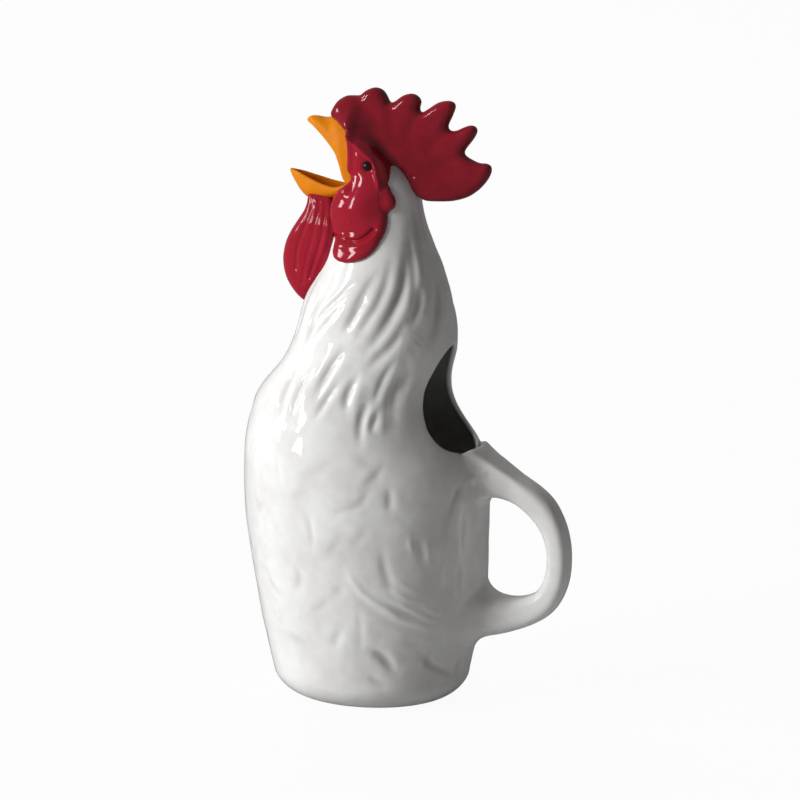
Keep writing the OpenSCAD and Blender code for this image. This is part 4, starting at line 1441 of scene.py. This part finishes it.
class ROOSTER_OT_eyes(Operator):
    """Models the two glossy black eyes"""

    bl_idname = "rooster.eyes"
    bl_label = "Eyes"

    def execute(self, context):
        place = on_casting((EYE_PIXEL,))[0] * MM - (0, EYE_PROUD, 0)
        holder = add_object("glazed_eyes", bpy.data.meshes.new("glazed_eyes"))
        tree = add_pair_tree(glaze("black"))
        modifier = holder.modifiers.new("beads", "NODES")
        modifier.node_group = tree
        values = {"Place": list(place), "Spacing": [0, -2 * place[1], 0],
                  "Radius": context.scene.rooster_sizes.eye_radius}
        for item in tree.interface.items_tree:
            if item.in_out == "INPUT":
                modifier[item.identifier] = values[item.name]
        graph = context.evaluated_depsgraph_get()
        mesh = bpy.data.meshes.new_from_object(holder.evaluated_get(graph))
        holder.modifiers.clear()
        holder.data = mesh
        dress(holder, glaze("black"), "black_glaze", "left_eye", "right_eye")
        return {"FINISHED"}


# Lamps: their turn from the camera and their rise in degrees, their width and height in metres, their power
# in watts, and whether the glaze mirrors them
LAMPS = (
    # Two tall windows, which give the long reflections on the breast
    ("window_near", -66, 17, 0.62, 2.1, 52.0, True),
    ("window_far", -92, 17, 0.74, 2.1, 52.0, True),
    # Soft light from the same side, and a wide one from behind
    ("soft_key", -67, 22, 1.7, 1.7, 203.0, False),
    ("rear_fill", -162, 48, 4.0, 4.0, 150.0, False),
)
LAMP_DISTANCE = 5.0
LAMP_AIM = np.array([0, 0, 0.17])
# The camera's sensor in mm, and half the floor's side in metres
SENSOR = 36
FLOOR_HALF = 6


def aim(thing, place, back):
    """Puts the camera or a lamp at a place, in metres, with its back toward a direction."""
    thing.location = place
    thing.rotation_mode = "QUATERNION"
    thing.rotation_quaternion = Vector(-back).to_track_quat("-Z", "Y")


class ROOSTER_OT_stage(Operator):
    """Sets up the floor, the lights, the world and the camera"""

    bl_idname = "rooster.stage"
    bl_label = "Stage"

    def execute(self, context):
        scene = context.scene
        scene.view_settings.view_transform = "Standard"
        data = bpy.data.cameras.new("camera")
        data.sensor_width = SENSOR
        data.lens = SENSOR * CAMERA_DISTANCE / (SIDE * PIXEL)
        data.clip_end = 50
        scene.camera = add_object("camera", data)
        place, *_, back = camera_frame()
        aim(scene.camera, place * MM, back)
        self.add_floor()
        self.add_world(scene)
        for name, turn, rise, width, tall, power, mirrored in LAMPS:
            lamp = bpy.data.lights.new(name, "AREA")
            lamp.shape = "RECTANGLE"
            lamp.size = width
            lamp.size_y = tall
            lamp.energy = power
            way = toward(CAMERA_TURN + math.radians(turn), math.radians(rise))
            thing = add_object(name, lamp)
            aim(thing, LAMP_AIM + way * LAMP_DISTANCE, way)
            thing.visible_glossy = mirrored
        return {"FINISHED"}

    def add_floor(self):
        mesh = bpy.data.meshes.new("floor")
        corners = [(x * FLOOR_HALF, y * FLOOR_HALF, 0) for x, y in ((-1, -1), (1, -1), (1, 1), (-1, 1))]
        mesh.from_pydata(corners, [], [(0, 1, 2, 3)])
        floor = add_object("floor", mesh)
        # Matt and pale where it sends light up, and all but white to the camera
        material = bpy.data.materials.new("pale_floor")
        tree = empty_tree(material)
        matt = add_node(tree, "ShaderNodeBsdfDiffuse", {"Color": hex_to_linear("#D2D2D2")}).outputs[0]
        glow = add_node(tree, "ShaderNodeEmission", {"Color": (1, 1, 1, 1), "Strength": 1.0}).outputs[0]
        path = add_node(tree, "ShaderNodeLightPath").outputs
        share = add_maths(tree, "MULTIPLY", path["Is Camera Ray"], 0.95)
        mixed = add_node(tree, "ShaderNodeMixShader", {0: share, 1: matt, 2: glow}).outputs[0]
        add_node(tree, "ShaderNodeOutputMaterial", {"Surface": mixed})
        mesh.materials.append(material)
        floor.visible_glossy = False
        floor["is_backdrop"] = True

    def add_world(self, scene):
        scene.world = bpy.data.worlds.new("room")
        tree = empty_tree(scene.world)
        path = add_node(tree, "ShaderNodeLightPath").outputs
        # White to the camera and through clear things, and a dimmer room in what the glaze mirrors
        seen = add_maths(tree, "MAXIMUM", path["Is Camera Ray"], path["Is Transmission Ray"])
        seen = add_maths(tree, "MAXIMUM", seen, add_maths(tree, "MULTIPLY", path["Is Glossy Ray"], 0.12))
        room = add_node(tree, "ShaderNodeBackground", {
            "Color": hex_to_linear("#FFFAF7"), "Strength": 0.063}).outputs[0]
        white = add_node(tree, "ShaderNodeBackground", {"Color": (1, 1, 1, 1), "Strength": 1.0}).outputs[0]
        mixed = add_node(tree, "ShaderNodeMixShader", {0: seen, 1: room, 2: white}).outputs[0]
        add_node(tree, "ShaderNodeOutputWorld", {"Surface": mixed})


class RoosterSizes(PropertyGroup):
    """Sizes that a user would change"""

    feather_depth: FloatProperty(
        name="Feather depth", description="Depth of the deepest cut between two feathers",
        default=FEATHER_DEPTH, min=0.0, max=0.004, unit="LENGTH", subtype="DISTANCE")
    eye_radius: FloatProperty(
        name="Eye radius", description="Radius of each black eye bead",
        default=0.00285, min=0.001, max=0.004, unit="LENGTH", subtype="DISTANCE")


class ROOSTER_PT_panel(Panel):
    """Lists the pieces of the pitcher"""

    bl_idname = "ROOSTER_PT_panel"
    bl_label = "Rooster pitcher"
    bl_space_type = "VIEW_3D"
    bl_region_type = "UI"
    bl_category = "Rooster pitcher"

    def draw(self, context):
        for name in ("feather_depth", "eye_radius"):
            self.layout.prop(context.scene.rooster_sizes, name)
        for step in STEPS:
            self.layout.operator(step.bl_idname)


STEPS = (
    ROOSTER_OT_body, ROOSTER_OT_neck, ROOSTER_OT_handle, ROOSTER_OT_comb, ROOSTER_OT_face,
    ROOSTER_OT_wattles, ROOSTER_OT_beaks, ROOSTER_OT_earlobes, ROOSTER_OT_eyes, ROOSTER_OT_stage,
)
CLASSES = (RoosterSizes,) + STEPS + (ROOSTER_PT_panel,)


def register():
    for item in CLASSES:
        bpy.utils.register_class(item)
    bpy.types.Scene.rooster_sizes = PointerProperty(type=RoosterSizes)


def unregister():
    del bpy.types.Scene.rooster_sizes
    for item in reversed(CLASSES):
        bpy.utils.unregister_class(item)


def main():
    register()
    for step in STEPS:
        area, name = step.bl_idname.split(".")
        getattr(getattr(bpy.ops, area), name)()
    boxes = {"cad": cad_box, "visual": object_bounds()}
    {key: [list(corner) for corner in box] for key, box in boxes.items()}


if __name__ == "__main__":
    main()
